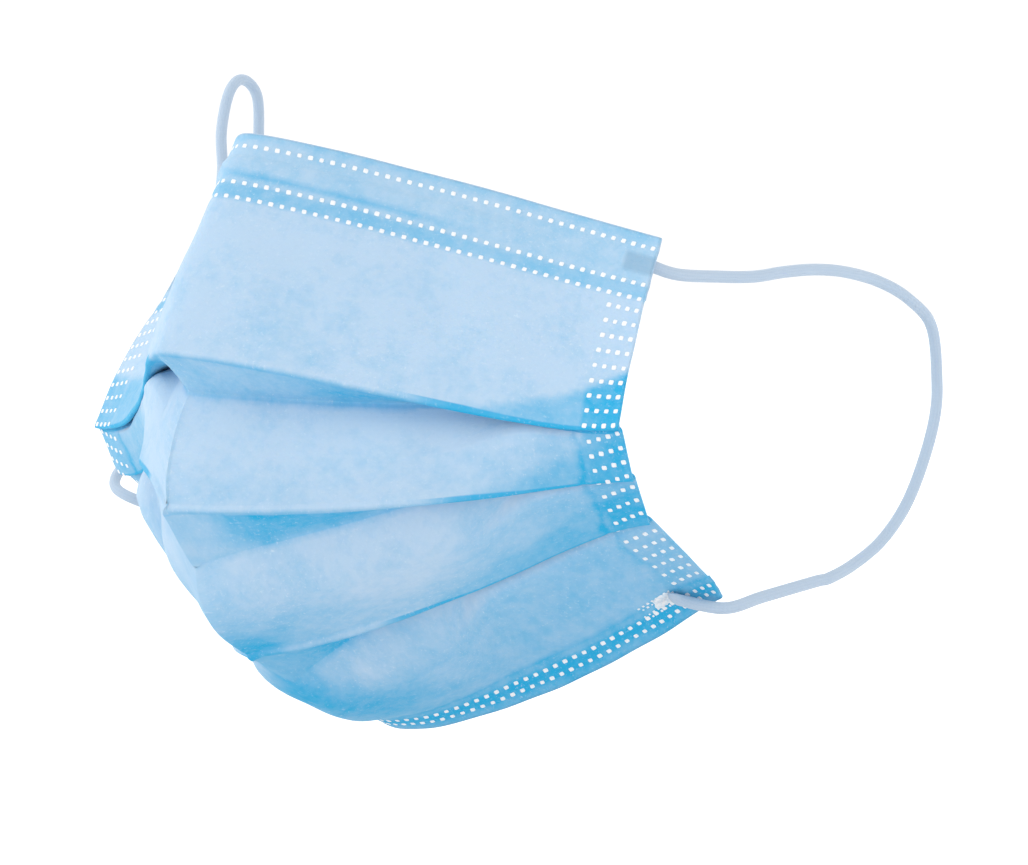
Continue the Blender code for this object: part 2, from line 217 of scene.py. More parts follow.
# How deep the blue is, from the single lit ply at 0 to stacked, pressed plies at 1. The same number also
# carries painted shade: on cloth facing away from the light, inside the pleats, under fold edges, along the
# nose wire's ridge, in the pinch crease and under the chin
# Painted shade by facing: an offset, then the weights of the outward direction's x, y and z
FACING_SHADE = (0.19, -0.12, -0.15, 0.43)
FACING_SHADE_MOST = 0.85
LAP_DEPTH = (0.53, 0.30, 0.18)
LAP_EDGE = 1.4
SEAM_DEPTH = (0.0, 0.64, 0.62)
# The lapped seam is painted deeper on the near half than on the far half, which faces the light: painted
# light and shade on the two sides
LAP_SEAM_DEPTH = 0.90
FAR_LAP_SEAM_DEPTH = 0.60
CHIN_SEAM_DEPTH = 0.52
# The bottom band's blue across its width: partly its turned-in plies, partly painted shade where it turns
# under the chin
BOTTOM_PLACES = (0.0, 0.04, 0.12, 0.30, 0.66, 0.80)
BOTTOM_DEPTH = (0.80, 0.80, 0.62, 0.98, 0.98, 0.78)
STRIP_DEPTH = 0.26
BAND_DEPTH = 0.19
EDGE_DEPTH = 0.18
# Painted shade: a soft dark line along the lower side of the nose wire's ridge; its depth, its place below
# the wire and width, and where across it starts and ends
WIRE_SHADE_DEPTH = 0.38
WIRE_SHADE_PLACE = (0.15, 0.05)
WIRE_SHADE_START = (-0.1, 0.12)
WIRE_SHADE_END = (0.40, 0.66)
BAND_END = (0.98, 1.04)
EDGE_PLACES = (0.02, 0.16)
STRIP_PLACES = (0.74, 0.84)
# Painted shade inside a pleat: its depth where it is wide open and where it narrows, and the shares of the
# half width where it starts and ends to narrow
PleatShade = namedtuple("PleatShade", "wide_depth narrow_depth start end")
PLEAT_SHADES = (PleatShade(0.40, 0.85, 0.28, 0.50), PleatShade(0.30, 0.90, 0.10, 0.26), PleatShade(0.66, 0.85, 0.0, 0.25))
PLEAT_SHADE_FADE = (0.5, 0.5, 0.15)
PLEAT_SHADE_EDGE = 1.2
PLEAT_SHADE_ROWS = 12
PLEAT_SHADE_SHARE = 0.5
# The painted shadow, a thin deep line, where a fold edge lies on the cloth: its width, its soft edge, and the
# gap at which it ends
FOLD_SHADOW_WIDTH = (0.08, 0.5)
FOLD_SHADOW_GAP = (1.2, 3.4)
FOLD_SHADOW_STRENGTH = 0.9
FOLD_SHADOW_LAP = (-1.8, 2.2)
# Far below any fold, how far off the painted shadow line is taken when its gap is open, and the rows that are
# looked at
FAR_BELOW = 9.0
OPEN_BELOW = 4.0
FOLD_SHADOW_ROWS = (14, 6)
LOOK_BACK = 4

# Painted light and shade: places where the cloth is painted a paler blue (a negative change) or a deeper one,
# as if it took more light or less
Tone = namedtuple("Tone", "x y z reach change")
LIT_AND_SHADED_SPOTS = (
    Tone(29.0, 3.0, -82.5, 14.0, -0.46),
    Tone(11.5, -12.7, -87.0, 8.0, -0.14),
    Tone(50.0, 19.0, -76.0, 9.0, -0.05),
    Tone(20.1, -10.7, -40.2, 9.0, 0.13),
    Tone(7.9, -14.8, -24.8, 9.0, -0.14),
    Tone(2.2, -7.4, -101.1, 6.5, 0.52),
    Tone(-2.6, 4.6, -110.2, 6.0, 0.40),
    Tone(4.0, 9.5, -112.0, 6.5, 0.34),
    Tone(11.0, 17.5, -113.0, 7.0, 0.28),
    Tone(30.0, 25.0, -101.0, 14.0, -0.10),
    Tone(13.5, 12.0, -106.0, 6.0, -0.30),
)

# The crease down the middle of the lower panels: its height, its reach, and the rows where it starts and ends
CREASE_HEIGHT = 1.0
CREASE_REACH = 0.03
CREASE_START, CREASE_END = (-2, 8), (-2, 4)
# How far hidden plies end short of the side edge, where across that starts, and the rows it takes to do so
HIDDEN_SHORT = 2.2
HIDDEN_FROM = 0.90
HIDDEN_ROWS = (3, 6)

# The small crease where the free cloth meets the pressed seam, pushed in and painted with a line of shade
PINCH_PLACE = 9.4
PINCH_WIDTH = 0.8
PINCH_WANDER = ((0.5, 2.3), (0.3, 0.9))
PINCH_HEIGHT = 0.16
PINCH_SHADE = 0.34
PINCH_ROWS = 30


def unit(vectors):
    return vectors / np.linalg.norm(vectors, axis=-1, keepdims=True)


def smooth_step(low, high, value):
    share = np.clip((value - low) / (high - low), 0.0, 1.0)
    return share * share * (3.0 - 2.0 * share)


def across_places():
    inner = np.linspace(0.0, SEAM_START, PANEL_COLUMNS + 1)
    outer = np.linspace(SEAM_START, 1.0, SEAM_COLUMNS + 1)[1:]
    half = np.concatenate([inner, outer])
    return np.concatenate([-half[:0:-1], half])


ACROSS = across_places()


def rail_line(rail, across):
    """Points of one line: a quartic curve from the centre to the edge, mirrored for the other half."""
    centre = np.array([0.0, rail.centre_y - NOSE_SEAT, rail.centre_z])
    end = np.array([rail.end_x, rail.end_y - NOSE_SEAT, rail.end_z])
    run = end - centre
    plan = unit(run * [1.0, 1.0, 0.0])
    outward = np.array([plan[1], -plan[0], 0.0])
    controls = (
        centre,
        centre + np.array([rail.tip, 0.0, 0.0]),
        (centre + end) / 2 + rail.bulge * outward + rail.sag * UP,
        end - END_HANDLE * unit(run) + rail.end_bulge * outward + rail.end_sag * UP,
        end,
    )
    share = np.abs(across)[:, None]
    line = sum(math.comb(4, k) * (1 - share) ** (4 - k) * share ** k * point
               for k, point in enumerate(controls))
    line[:, 0] *= np.where(across < 0, -1.0, 1.0)
    return line


def along(line):
    return unit(np.gradient(line, axis=0))


def far_rise(across):
    share = np.maximum(-across, 0.0)
    start, fade, end = FAR_RISE_REACH
    return FAR_RISE * (1 - np.exp(-(share / start) ** FAR_RISE_POWER)) * (1 - smooth_step(fade, end, share))


def outer_lines(across):
    """Each named line with the cloth's down direction and outward direction beside it."""
    lines = [rail_line(rail, across) for rail in RAILS]
    lines[3][:, 2] += far_rise(across)
    found = {}
    for number, rail in enumerate(RAILS):
        down = unit(lines[min(number + 1, len(lines) - 1)] - lines[max(number - 1, 0)])
        found[rail.name] = (lines[number], down, unit(np.cross(down, along(lines[number]))))
    return found


def opening_share(pleat, across):
    """Share of the half width that decides how far a pleat is open; the far half closes sooner."""
    share = np.abs(across)
    sooner = (pleat.closes_at - pleat.far_closes_at) / (pleat.far_closes_at * (1 - pleat.closes_at))
    return np.where(across < 0, share * (1 + sooner) / (1 + sooner * share), share)


def pleat_drop(pleat, across):
    share = opening_share(pleat, across)
    known = np.array([[pleat.closes_at, pleat.closes_at ** 2], [1.0, 1.0]])
    slope, curve = np.linalg.solve(known, np.array([-pleat.drop, -pleat.lap - pleat.drop]))
    return pleat.drop + slope * share + curve * share ** 2


def closed_share(pleat, across):
    """0 where a pleat is open, 1 where its layers lie on each other."""
    return smooth_step(0.0, pleat.lap / 2, -pleat_drop(pleat, across))[:, None]


def layer_pitch(pleat, across):
    """Distance between the layers of a pleat: wide where it is open, least in the pressed seam."""
    closed = closed_share(pleat, across)
    loose = PITCH_OPEN * (1 - closed) + PITCH_CLOSED * closed
    pressed = smooth_step(*PRESSED_FROM, np.abs(across))[:, None]
    return loose * (1 - pressed) + PITCH_SEAM * pressed


def fold_middle(pleat, outer, across):
    line, _, outward = outer[pleat.fold]
    return line - outward * layer_pitch(pleat, across) / 2


def passing_line(pleat_above, panel_top, fold, outer, across):
    passing = panel_top + (fold - panel_top) * HIDDEN_SHARE
    if pleat_above is None:
        return passing, np.zeros((len(across), 1))
    line, _, outward = outer[pleat_above.fold]
    closed = closed_share(pleat_above, across)
    behind = line - outward * PASSING_LAYERS * layer_pitch(pleat_above, across)
    return passing * (1 - closed) + behind * closed, closed


def valley_middle(pleat, outer, panel_line, across):
    line, down, outward = outer[pleat.fold]
    centre_outward = outward[len(across) // 2]
    share = np.abs(across)
    spread = smooth_step(0.0, CENTRE_BLEND, share)[:, None]
    outward = unit(centre_outward * (1 - spread) + outward * spread)
    drop = pleat_drop(pleat, across)[:, None]
    panel_up = unit(panel_line - line)
    panel_outward = unit(np.cross(-panel_up, along(line)))
    closed = closed_share(pleat, across)
    behind = unit(outward * (1 - closed) + panel_outward * closed)
    recess = (pleat.recess * (1 - share ** 2) ** RECESS_POWER)[:, None]
    place = line + down * np.maximum(drop, 0.0) + panel_up * np.maximum(-drop, 0.0)
    return place - behind * (recess + VALLEY_LAYERS * layer_pitch(pleat, across))


def turn(before, middle, after, side, pitch):
    to_before, to_after = unit(before - middle), unit(after - middle)
    away = -(to_before + to_after) / 2
    sharpness = np.linalg.norm(away, axis=1, keepdims=True)
    straight = np.sqrt(np.clip(1 - sharpness ** 2, 0.0, 1.0))
    across_turn = side * np.cross(away, along(middle))
    radius = pitch / 2
    return [middle + radius * (across_turn + straight * to_before), middle + radius * away,
            middle + radius * (straight * to_after - across_turn)]


def between(first, last, rows):
    return [first + (last - first) * number / (rows + 1) for number in range(1, rows + 1)]


def panel_rows(first, passing, last, panel, closed, across):
    rows = between(first, passing, panel.hidden) + [passing] + between(passing, last, panel.shown)
    shares = [HIDDEN_SHARE * number / (panel.hidden + 1) for number in range(1, panel.hidden + 2)]
    shares += [HIDDEN_SHARE + (1 - HIDDEN_SHARE) * number / (panel.shown + 1)
               for number in range(1, panel.shown + 1)]
    fullness = panel.swell * (1 - across ** SWELL_POWER)[:, None]
    found = []
    for row, share in zip(rows, shares):
        outward = unit(np.cross(last - first, along(row)))
        free = 1 - closed if share <= HIDDEN_SHARE else 1.0
        found.append(row + outward * fullness * free * math.sin(math.pi * share))
    return found


def cloth_controls(across):
    """Rows that the cloth runs through, and the numbers of the named ones."""
    outer = outer_lines(across)
    top, band = outer["top"][0], outer["band"][0]
    hem, bottom = outer["hem"][0], outer["bottom"][0]
    rows = [top] + between(top, band, TOP_CONTROLS) + [band]
    marks = {"top": 0, "band": len(rows) - 1}
    pleat_above = None
    for number, pleat in enumerate(PLEATS):
        panel_top = rows[-1]
        pitch = layer_pitch(pleat, across)
        fold = fold_middle(pleat, outer, across)
        passing, closed = passing_line(pleat_above, panel_top, fold, outer, across)
        valley = valley_middle(pleat, outer, passing, across)
        after = fold_middle(PLEATS[number + 1], outer, across) if number + 1 < len(PLEATS) else hem
        fold_rows = turn(panel_top, fold, valley, 1, pitch)
        valley_rows = turn(fold, valley, after, -1, pitch)
        marks[f"passing_{number}"] = len(rows) + PANELS[number].hidden
        rows += panel_rows(panel_top, passing, fold_rows[0], PANELS[number], closed, across)
        marks[f"fold_{number}"] = len(rows)
        rows += fold_rows + between(fold_rows[-1], valley_rows[0], RETURN_ROWS)
        marks[f"valley_{number}"] = len(rows)
        rows += valley_rows
        pleat_above = pleat
    passing, closed = passing_line(pleat_above, rows[-1], hem, outer, across)
    marks[f"passing_{len(PLEATS)}"] = len(rows) + PANELS[-1].hidden
    rows += panel_rows(rows[-1], passing, hem, PANELS[-1], closed, across)
    marks["hem"] = len(rows)
    rows += [hem] + between(hem, bottom, BOTTOM_CONTROLS) + [bottom]
    marks["bottom"] = len(rows) - 1
    return np.array(rows), marks


def row_counts(rows, marks):
    """How many steps each stretch between two control rows gets."""
    lengths = np.linalg.norm(np.diff(rows, axis=0), axis=2).mean(axis=1)
    counts = np.maximum(np.round(lengths / ROW_STEP), 1).astype(int)
    for first, last in (("top", "band"), ("hem", "bottom")):
        stretch = slice(marks[first], marks[last])
        counts[stretch] = np.maximum(np.round(lengths[stretch] / BAND_ROW_STEP), 1)
    for number in range(len(PLEATS)):
        for start in (marks[f"fold_{number}"], marks[f"valley_{number}"]):
            counts[start:start + 2] = TURN_STEPS
    for number in range(1, len(PLEATS) + 1):
        passing = marks[f"passing_{number}"]
        counts[passing - 1:passing + 1] = PASSING_STEPS
    return counts


def smooth_rows(rows, counts):
    """A smooth curve down each column through the control rows, each stretch in its own number of steps."""
    padded = np.concatenate([2 * rows[:1] - rows[1:2], rows, 2 * rows[-1:] - rows[-2:-1]])
    found = []
    for number, count in enumerate(counts):
        p = padded[number:number + 4]
        gaps = np.sqrt(np.maximum(np.linalg.norm(np.diff(p, axis=0), axis=2, keepdims=True), 1e-6))
        t1 = gaps[0]
        t2 = t1 + gaps[1]
        t3 = t2 + gaps[2]
        for step in range(count):
            t = t1 + (t2 - t1) * step / count
            a1 = (t1 - t) / t1 * p[0] + t / t1 * p[1]
            a2 = (t2 - t) / gaps[1] * p[1] + (t - t1) / gaps[1] * p[2]
            a3 = (t3 - t) / gaps[2] * p[2] + (t - t2) / gaps[2] * p[3]
            b1 = (t2 - t) / t2 * a1 + t / t2 * a2
            b2 = (t3 - t) / (t3 - t1) * a2 + (t - t1) / (t3 - t1) * a3
            found.append((t2 - t) / gaps[1] * b1 + (t - t1) / gaps[1] * b2)
    found.append(rows[-1])
    return np.array(found)


# Softness: slow waves that run through every layer alike, and pushes that even out the hand-opened shape
Push = namedtuple("Push", "x y z reach shift_x shift_y shift_z")
PUSHES = (
    Push(-71.5, 27.0, -47.0, 12.0, -1.7, -1.6, 0.0),
    Push(-70.5, 27.0, -70.0, 10.0, -2.5, -2.3, 0.0),
    Push(-15.5, -17.0, -73.0, 11.0, -3.3, -3.1, 0.0),
    Push(-10.0, -16.0, -84.0, 8.0, -2.0, -1.9, 0.0),
    Push(-9.0, 6.0, -106.5, 9.0, -2.4, -2.2, -0.6),
    Push(-4.0, 23.0, -115.5, 7.0, -0.3, 0.0, -0.6),
)
WAVES = ((0.34, 46.0), (0.22, 27.0), (0.09, 15.0), (0.03, 8.5))
WAVE_SEED = 11
WAVE_COUNT = 5
WAVE_SHARE = 0.62
WAVE_SPREAD = (0.8, 1.25)
CLOTH_MIDDLE = (0.0, 45.0, -62.0)
OUTWARD_SHARES = (1.0, 1.0, 0.55)
# The bonded top band stays straight: the height where the waves are full and where they are weakest
STEADY_HEIGHT = (-26.0, -12.0)
STEADY_TILT = 0.45
STEADY_TO = 50.0
STEADY_SHARE = 0.75


def wave_table():
    picks = np.random.default_rng(WAVE_SEED)
    table = []
    for height, length in WAVES:
        for _ in range(WAVE_COUNT):
            heading = unit(picks.normal(size=3))
            table.append((height * WAVE_SHARE, heading * 2 * math.pi / (length * picks.uniform(*WAVE_SPREAD)),
                          picks.uniform(0, 2 * math.pi)))
    return table


WAVE_TABLE = wave_table()


def soften(points):
    """Moves points the way limp cloth waves, the same for everything at one place."""
    points = np.asarray(points, dtype=float)
    swell = sum(height * np.sin(points @ heading + phase) for height, heading, phase in WAVE_TABLE)
    height = points[..., 2] + STEADY_TILT * np.clip(points[..., 1], 0.0, STEADY_TO)
    swell = swell * (1 - STEADY_SHARE * smooth_step(*STEADY_HEIGHT, height))
    outward = unit((points - CLOTH_MIDDLE) * OUTWARD_SHARES)
    moved = points + outward * swell[..., None]
    for push in PUSHES:
        away = np.linalg.norm(points - [push.x, push.y, push.z], axis=-1) / push.reach
        moved = moved + np.exp(-away ** 2)[..., None] * [push.shift_x, push.shift_y, push.shift_z]
    return moved


def grid_normals(grid):
    """Outward direction of a sheet of points, rows down and columns across."""
    down = np.gradient(grid, axis=0)
    over = np.gradient(grid, axis=1)
    return unit(np.cross(down, over))


class Cloth:
    """The folded cloth as a fine grid of points, with distances on it for placing what is bonded to it."""

    def __init__(self):
        controls, marks = cloth_controls(ACROSS)
        counts = row_counts(controls, marks)
        starts = np.concatenate([[0], np.cumsum(counts)])
        self.marks = {name: int(starts[number]) for name, number in marks.items()}
        self.turns = [int(starts[marks[f"fold_{number}"] + 2]) for number in range(len(PLEATS))]
        self.points = soften(smooth_rows(controls, counts))
        self.measure()
        self.features()
        self.measure()

    def measure(self):
        self.normals = grid_normals(self.points)
        run_down = np.linalg.norm(np.diff(self.points, axis=0), axis=2)
        run_over = np.linalg.norm(np.diff(self.points, axis=1), axis=2)
        rows, columns = self.points.shape[:2]
        self.down = np.vstack([np.zeros(columns), np.cumsum(run_down, axis=0)])
        over = np.hstack([np.zeros((rows, 1)), np.cumsum(run_over, axis=1)])
        self.from_right = over[:, -1:] - over
        self.from_left = over
        self.from_side = np.minimum(over, self.from_right)

    def cut_places(self, down):
        """UV places on the flat cut for rows at these shares down it."""
        across = self.from_left[0] / self.from_left[0, -1]
        return np.stack(np.broadcast_arrays(across[None, :], down[:, None]), axis=-1)

    def share_between(self, first, last):
        """How far down each point is between two named lines, 0 on the first and 1 on the last."""
        start = self.down[self.marks[first]]
        return (self.down - start) / (self.down[self.marks[last]] - start)

    def features(self):
        """Pressed channels, the nose wire's ridge and the side seam, as moves along the outward direction."""
        rows, columns = self.points.shape[:2]
        marks = self.marks
        line = np.arange(rows)[:, None]
        height = np.zeros((rows, columns))
        press = np.zeros((rows, columns))
        for first, last, places in (("top", "band", TOP_ROWS), ("hem", "bottom", BOTTOM_ROWS)):
            start = self.down[marks[first]]
            length = self.down[marks[last]] - start
            for place in places:
                away = np.abs(self.down - (start + length * place))
                channel = np.exp(-(away / CHANNEL_WIDTH) ** 2)
                near = (line >= marks[first] - CHANNEL_ROWS) & (line <= marks[last] + CHANNEL_ROWS)
                press = np.maximum(press, channel * near)
        start = self.down[marks["top"]]
        length = self.down[marks["band"]] - start
        wire = np.abs(self.down - (start + length * WIRE_PLACE)) / (WIRE_WIDTH / 2)
        pocket = 1 - smooth_step(*POCKET_ENDS, np.abs(ACROSS))[None, :]
        ridge = np.exp(-np.maximum(wire - RIDGE_FLAT, 0.0) ** 2 * RIDGE_FALL)
        ridge = ridge * pocket * (line <= marks["band"])
        chin = marks["passing_3"]
        width = SEAM_WIDTH + CHIN_SEAM_WIDER * smooth_step(chin - CHIN_ROWS, chin + CHIN_ROWS, line)
        seam = 1 - smooth_step(width - SEAM_EDGE[0], width + SEAM_EDGE[1], self.from_side)
        height += WIRE_RIDGE * ridge - CHANNEL_DEPTH * press
        first, last = marks["valley_0"] + TURN_STEPS, self.turns[2]
        starts = smooth_step(first + CREASE_START[0], first + CREASE_START[1], line)
        window = starts * (1 - smooth_step(last + CREASE_END[0], last + CREASE_END[1], line))
        height += CREASE_HEIGHT * np.exp(-np.abs(ACROSS) / CREASE_REACH)[None, :] * window
        self.creased = (first, last)
        self.press = np.maximum(press, SEAM_PRESS * seam)
        self.seam = seam
        lower = smooth_step(marks["valley_0"], marks["passing_1"], line)
        lower = lower * (1 - smooth_step(chin, chin + PINCH_ROWS, line))
        wander = sum((swing * np.sin(self.down / length) for swing, length in PINCH_WANDER), PINCH_PLACE)
        self.pinch = np.exp(-((self.from_side - wander) / PINCH_WIDTH) ** 2) * lower
        height -= PINCH_HEIGHT * self.pinch
        self.points = self.points + self.normals * height[..., None]
        over = unit(np.gradient(self.points, axis=1)) * np.sign(ACROSS)[None, :, None]
        end = smooth_step(HIDDEN_FROM, 1.0, np.abs(ACROSS))
        for number in range(len(PLEATS)):
            start, stop = self.turns[number], marks[f"passing_{number + 1}"] + 1
            begins = smooth_step(start, start + HIDDEN_ROWS[0], line)
            hidden = begins * (1 - smooth_step(stop - HIDDEN_ROWS[1], stop, line))
            self.points -= over * (HIDDEN_SHORT * end * hidden)[..., None]

    def painted_facing_shade(self):
        """Painted shade: cloth that faces away from the light is painted a deeper blue, as cloth lit through
        its plies looks, and the listed spots are painted paler or deeper.
        """
        found = FACING_SHADE[0] - self.normals @ np.array(FACING_SHADE[1:])
        for tone in LIT_AND_SHADED_SPOTS:
            away = np.linalg.norm(self.points - [tone.x, tone.y, tone.z], axis=-1) / tone.reach
            found = found + tone.change * np.exp(-away ** 2)
        return np.clip(found, 0.0, FACING_SHADE_MOST)

    def colour_depth(self):
        """How deep the blue is: more where plies lie on each other and in the seam, with painted shade added
        inside the folds, along the wire's ridge, in the pinch crease, on cloth facing away from the light and
        at the bottom band.
        """
        marks = self.marks
        depth = self.painted_facing_shade()
        place = self.share_between("top", "band")
        band = 1 - smooth_step(*BAND_END, place)
        # Painted shade along the lower side of the nose wire's ridge
        below, width = WIRE_SHADE_PLACE
        wire_shade = np.exp(-((place - WIRE_PLACE - below) / width) ** 2)
        wire_shade = wire_shade * smooth_step(*WIRE_SHADE_START, ACROSS)
        wire_shade = wire_shade * (1 - smooth_step(*WIRE_SHADE_END, np.abs(ACROSS)))
        edge = EDGE_DEPTH * (1 - smooth_step(*EDGE_PLACES, place))
        strip = STRIP_DEPTH * smooth_step(*STRIP_PLACES, place)
        tones = BAND_DEPTH + WIRE_SHADE_DEPTH * wire_shade + edge + strip
        depth = depth * (1 - band) + tones * band
        for number, pleat in enumerate(PLEATS):
            start = marks["band"] if number == 0 else marks[f"passing_{number}"]
            stop = self.turns[number]
            drop = pleat_drop(pleat, ACROSS)
            lap = np.maximum(-drop, 0.0)
            above = self.down[stop] - self.down[start:stop]
            covered = smooth_step(-LAP_EDGE, LAP_EDGE, lap - above)
            pressed = self.seam[start:stop]
            depth[start:stop] += covered * LAP_DEPTH[number] * (1 - pressed)
            # Painted light and shade: the near half's lapped seam deeper, the far half's paler
            lapped = np.where(ACROSS > 0, LAP_SEAM_DEPTH, FAR_LAP_SEAM_DEPTH)
            single = SEAM_DEPTH[number] if number else depth[start:stop]
            seam = lapped * covered + single * (1 - covered)
            depth[start:stop] += pressed * (seam - depth[start:stop])
            # Painted shade inside the pleat's opening, deeper where it narrows and fading a little onto the
            # panel below
            after = marks[f"valley_{number}"] + 2 * TURN_STEPS
            pleat_shade = PLEAT_SHADES[number]
            narrow = smooth_step(pleat_shade.start, pleat_shade.end, opening_share(pleat, ACROSS))
            inward = np.linspace(1.0, 1.0 - PLEAT_SHADE_FADE[number], after - stop)[:, None]
            deeper = (pleat_shade.narrow_depth - pleat_shade.wide_depth) * narrow * inward
            depth[stop:after] = pleat_shade.wide_depth + deeper
            next_rows = slice(after, after + PLEAT_SHADE_ROWS)
            below = self.down[next_rows] - self.down[after]
            fade = (1 - smooth_step(0.0, PLEAT_SHADE_EDGE, below)) * (drop > 0)
            depth[next_rows] += fade * (depth[after - 1] - depth[next_rows]) * PLEAT_SHADE_SHARE
        # Painted shade along the pinch crease
        depth += PINCH_SHADE * self.pinch
        chin = slice(marks[f"passing_{len(PLEATS)}"], marks["hem"])
        depth[chin] = np.maximum(depth[chin], self.seam[chin] * CHIN_SEAM_DEPTH)
        # The bottom band: its plies' blue with painted shade under the chin
        bottom = slice(marks["hem"], marks["bottom"] + 1)
        place = self.share_between("hem", "bottom")[bottom]
        depth[bottom] = np.interp(place, BOTTOM_PLACES, BOTTOM_DEPTH)
        return np.clip(depth, 0.0, 1.0)

    def below_folds(self):
        """Distance below the fold edge that lies on the cloth, where it does, from which a thin shadow line
        is painted under each fold edge.
        """
        found = np.full(self.points.shape[:2], FAR_BELOW)
        after_passing, before_fold = FOLD_SHADOW_ROWS
        for number in range(len(PLEATS)):
            flank = self.marks[f"fold_{number}"]
            rows = slice(self.marks[f"valley_{number}"] + 2 * TURN_STEPS,
                         self.marks[f"passing_{number + 1}"] + after_passing)
            offset = self.points[rows] - self.points[flank + TURN_STEPS]
            downward = unit(self.points[flank] - self.points[flank - LOOK_BACK])
            gap = -(offset * self.normals[flank - 1]).sum(axis=-1)
            found[rows] = (offset * downward).sum(axis=-1) + OPEN_BELOW * smooth_step(*FOLD_SHADOW_GAP, gap)
            edge = slice(flank - before_fold, flank + 2 * TURN_STEPS + 1)
            above = np.maximum(self.down[flank + 1] - self.down[edge], 0.0)
            lying = smooth_step(*FOLD_SHADOW_LAP, -pleat_drop(PLEATS[number], ACROSS))
            found[edge] = above + FOLD_SHADOW_WIDTH[1] * (1 - lying)
        return found

    def elastic_behind(self):
        """Where the end of an ear loop shows through the upper corners."""
        place = self.share_between("top", "band")
        inner, high, low = ([at + edge for edge in edges] for at, edges in zip(LOOP_SHOWS, SHOWS_EDGES))
        outside = smooth_step(*inner, np.abs(ACROSS))[None, :]
        return outside * smooth_step(*high, place) * (1 - smooth_step(*low, place))

    def line_places(self, lines, share):
        """The rows where a line between two named ones crosses each column, and the run along it."""
        first, last = (self.marks[name] for name in lines)
        rows = []
        for column in range(len(ACROSS)):
            start, end = self.down[first, column], self.down[last, column]
            rows.append(np.interp(start + (end - start) * share, self.down[:, column],
                                  np.arange(len(self.down))))
        points = np.array([self.find(row, column)[0] for column, row in enumerate(rows)])
        run = np.concatenate([[0.0], np.cumsum(np.linalg.norm(np.diff(points, axis=0), axis=1))])
        return np.array(rows), run

    def row_dots(self, lines, share):
        """Evenly spaced places along one bonded row."""
        rows, run = self.line_places(lines, share)
        count = round(run[-1] / ROW_PITCH)
        places = (np.arange(count) + 0.5) * run[-1] / count
        columns = np.interp(places, run, np.arange(len(run)))
        return [(float(np.interp(column, np.arange(len(rows)), rows)), float(column)) for column in columns]

    def patch_dots(self, lines, across, shares):
        """A small patch of fine dots, in staggered rows, on each side of the cloth."""
        found = []
        for side in (-1, 1):
            for number, share in enumerate(shares):
                shift = 0.5 * (number % 2) * (across[1] - across[0]) / WELD_DOTS_COLUMNS
                for place in np.linspace(*across, WELD_DOTS_COLUMNS) + shift:
                    found.append(self.place(lines, place * side, share))
        return found

    def side_dots(self):
        """Places of the bonded dots in the two side seams, a block of rows for each panel that shows."""
        found = []
        for side in (-1, 1):
            edge = len(ACROSS) - 1 - SEAM_MIDDLE if side > 0 else SEAM_MIDDLE
            for block in SIDE_BLOCKS:
                start = self.down[self.side_mark(block.start), edge]
                for number in range(block.rows):
                    distance = start + block.first + number * block.pitch
                    for far in block.columns:
                        row = self.row_at(edge, distance + block.tilt * (far - TILT_FROM))
                        found.append((row, self.column_at(row, side, far)))
        return found

    def side_mark(self, name):
        return self.turns[int(name[-1])] if name.startswith("turn") else self.marks[name]

    def find(self, row, column):
        """The point and directions at a place between the rows and columns."""
        r0 = int(np.clip(math.floor(row), 0, len(self.points) - 2))
        c0 = int(np.clip(math.floor(column), 0, len(ACROSS) - 2))
        fr, fc = row - r0, column - c0

        def mix(grid):
            return ((grid[r0, c0] * (1 - fc) + grid[r0, c0 + 1] * fc) * (1 - fr)
                    + (grid[r0 + 1, c0] * (1 - fc) + grid[r0 + 1, c0 + 1] * fc) * fr)
        point, normal = mix(self.points), unit(mix(self.normals))
        over = self.points[r0, c0 + 1] - self.points[r0, c0]
        over = unit(over - normal * (over @ normal))
        return point, normal, over

    def row_at(self, column, distance):
        """The row where the distance down a column is reached."""
        line = self.down[:, int(round(column))]
        return float(np.interp(distance, line, np.arange(len(line))))

    def column_at(self, row, side, distance):
        """The column at a distance from the left or right side edge, on one row."""
        row = int(round(row))
        if side > 0:
            line = self.from_right[row][::-1]
            return float(len(ACROSS) - 1 - np.interp(distance, line, np.arange(len(line))))
        return float(np.interp(distance, self.from_left[row], np.arange(len(ACROSS))))

    def place(self, lines, across, share):
        """The row and column of a place between two named lines."""
        first, last = (self.marks[name] for name in lines)
        column = float(np.interp(across, ACROSS, np.arange(len(ACROSS))))
        start, end = self.down[first, int(round(column))], self.down[last, int(round(column))]
        return self.row_at(column, start + (end - start) * share), column


def new_object(name, mesh, *materials):
    thing = bpy.data.objects.new(name, mesh)
    bpy.context.scene.collection.objects.link(thing)
    for material in materials:
        mesh.materials.append(material)
    return thing


def declare(thing, node_name):
    """Puts a finished piece on the one body, in place of its node if it has one."""
    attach(thing, "root")
    if node_name:
        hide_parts(node_name)


def grid_mesh(name, grid, uv=None, attributes=None):
    """A mesh of quads from rows of points in millimetres, with a UV place and named numbers per point."""
    rows, columns = grid.shape[:2]
    numbers = np.arange(rows * columns).reshape(rows, columns)
    faces = np.stack([numbers[:-1, :-1], numbers[1:, :-1], numbers[1:, 1:], numbers[:-1, 1:]], axis=-1)
    mesh = bpy.data.meshes.new(name)
    mesh.from_pydata((grid.reshape(-1, 3) * MM).tolist(), [], faces.reshape(-1, 4).tolist())
    if uv is not None:
        layer = mesh.uv_layers.new(name="cut")
        corners = np.empty(len(mesh.loops), dtype=np.int32)
        mesh.loops.foreach_get("vertex_index", corners)
        layer.data.foreach_set("uv", uv.reshape(-1, 2)[corners].ravel().astype(np.float32))
    for label, values in (attributes or {}).items():
        layer = mesh.attributes.new(label, "FLOAT", "POINT")
        layer.data.foreach_set("value", values.ravel().astype(np.float32))
    mesh.shade_smooth()
    return mesh


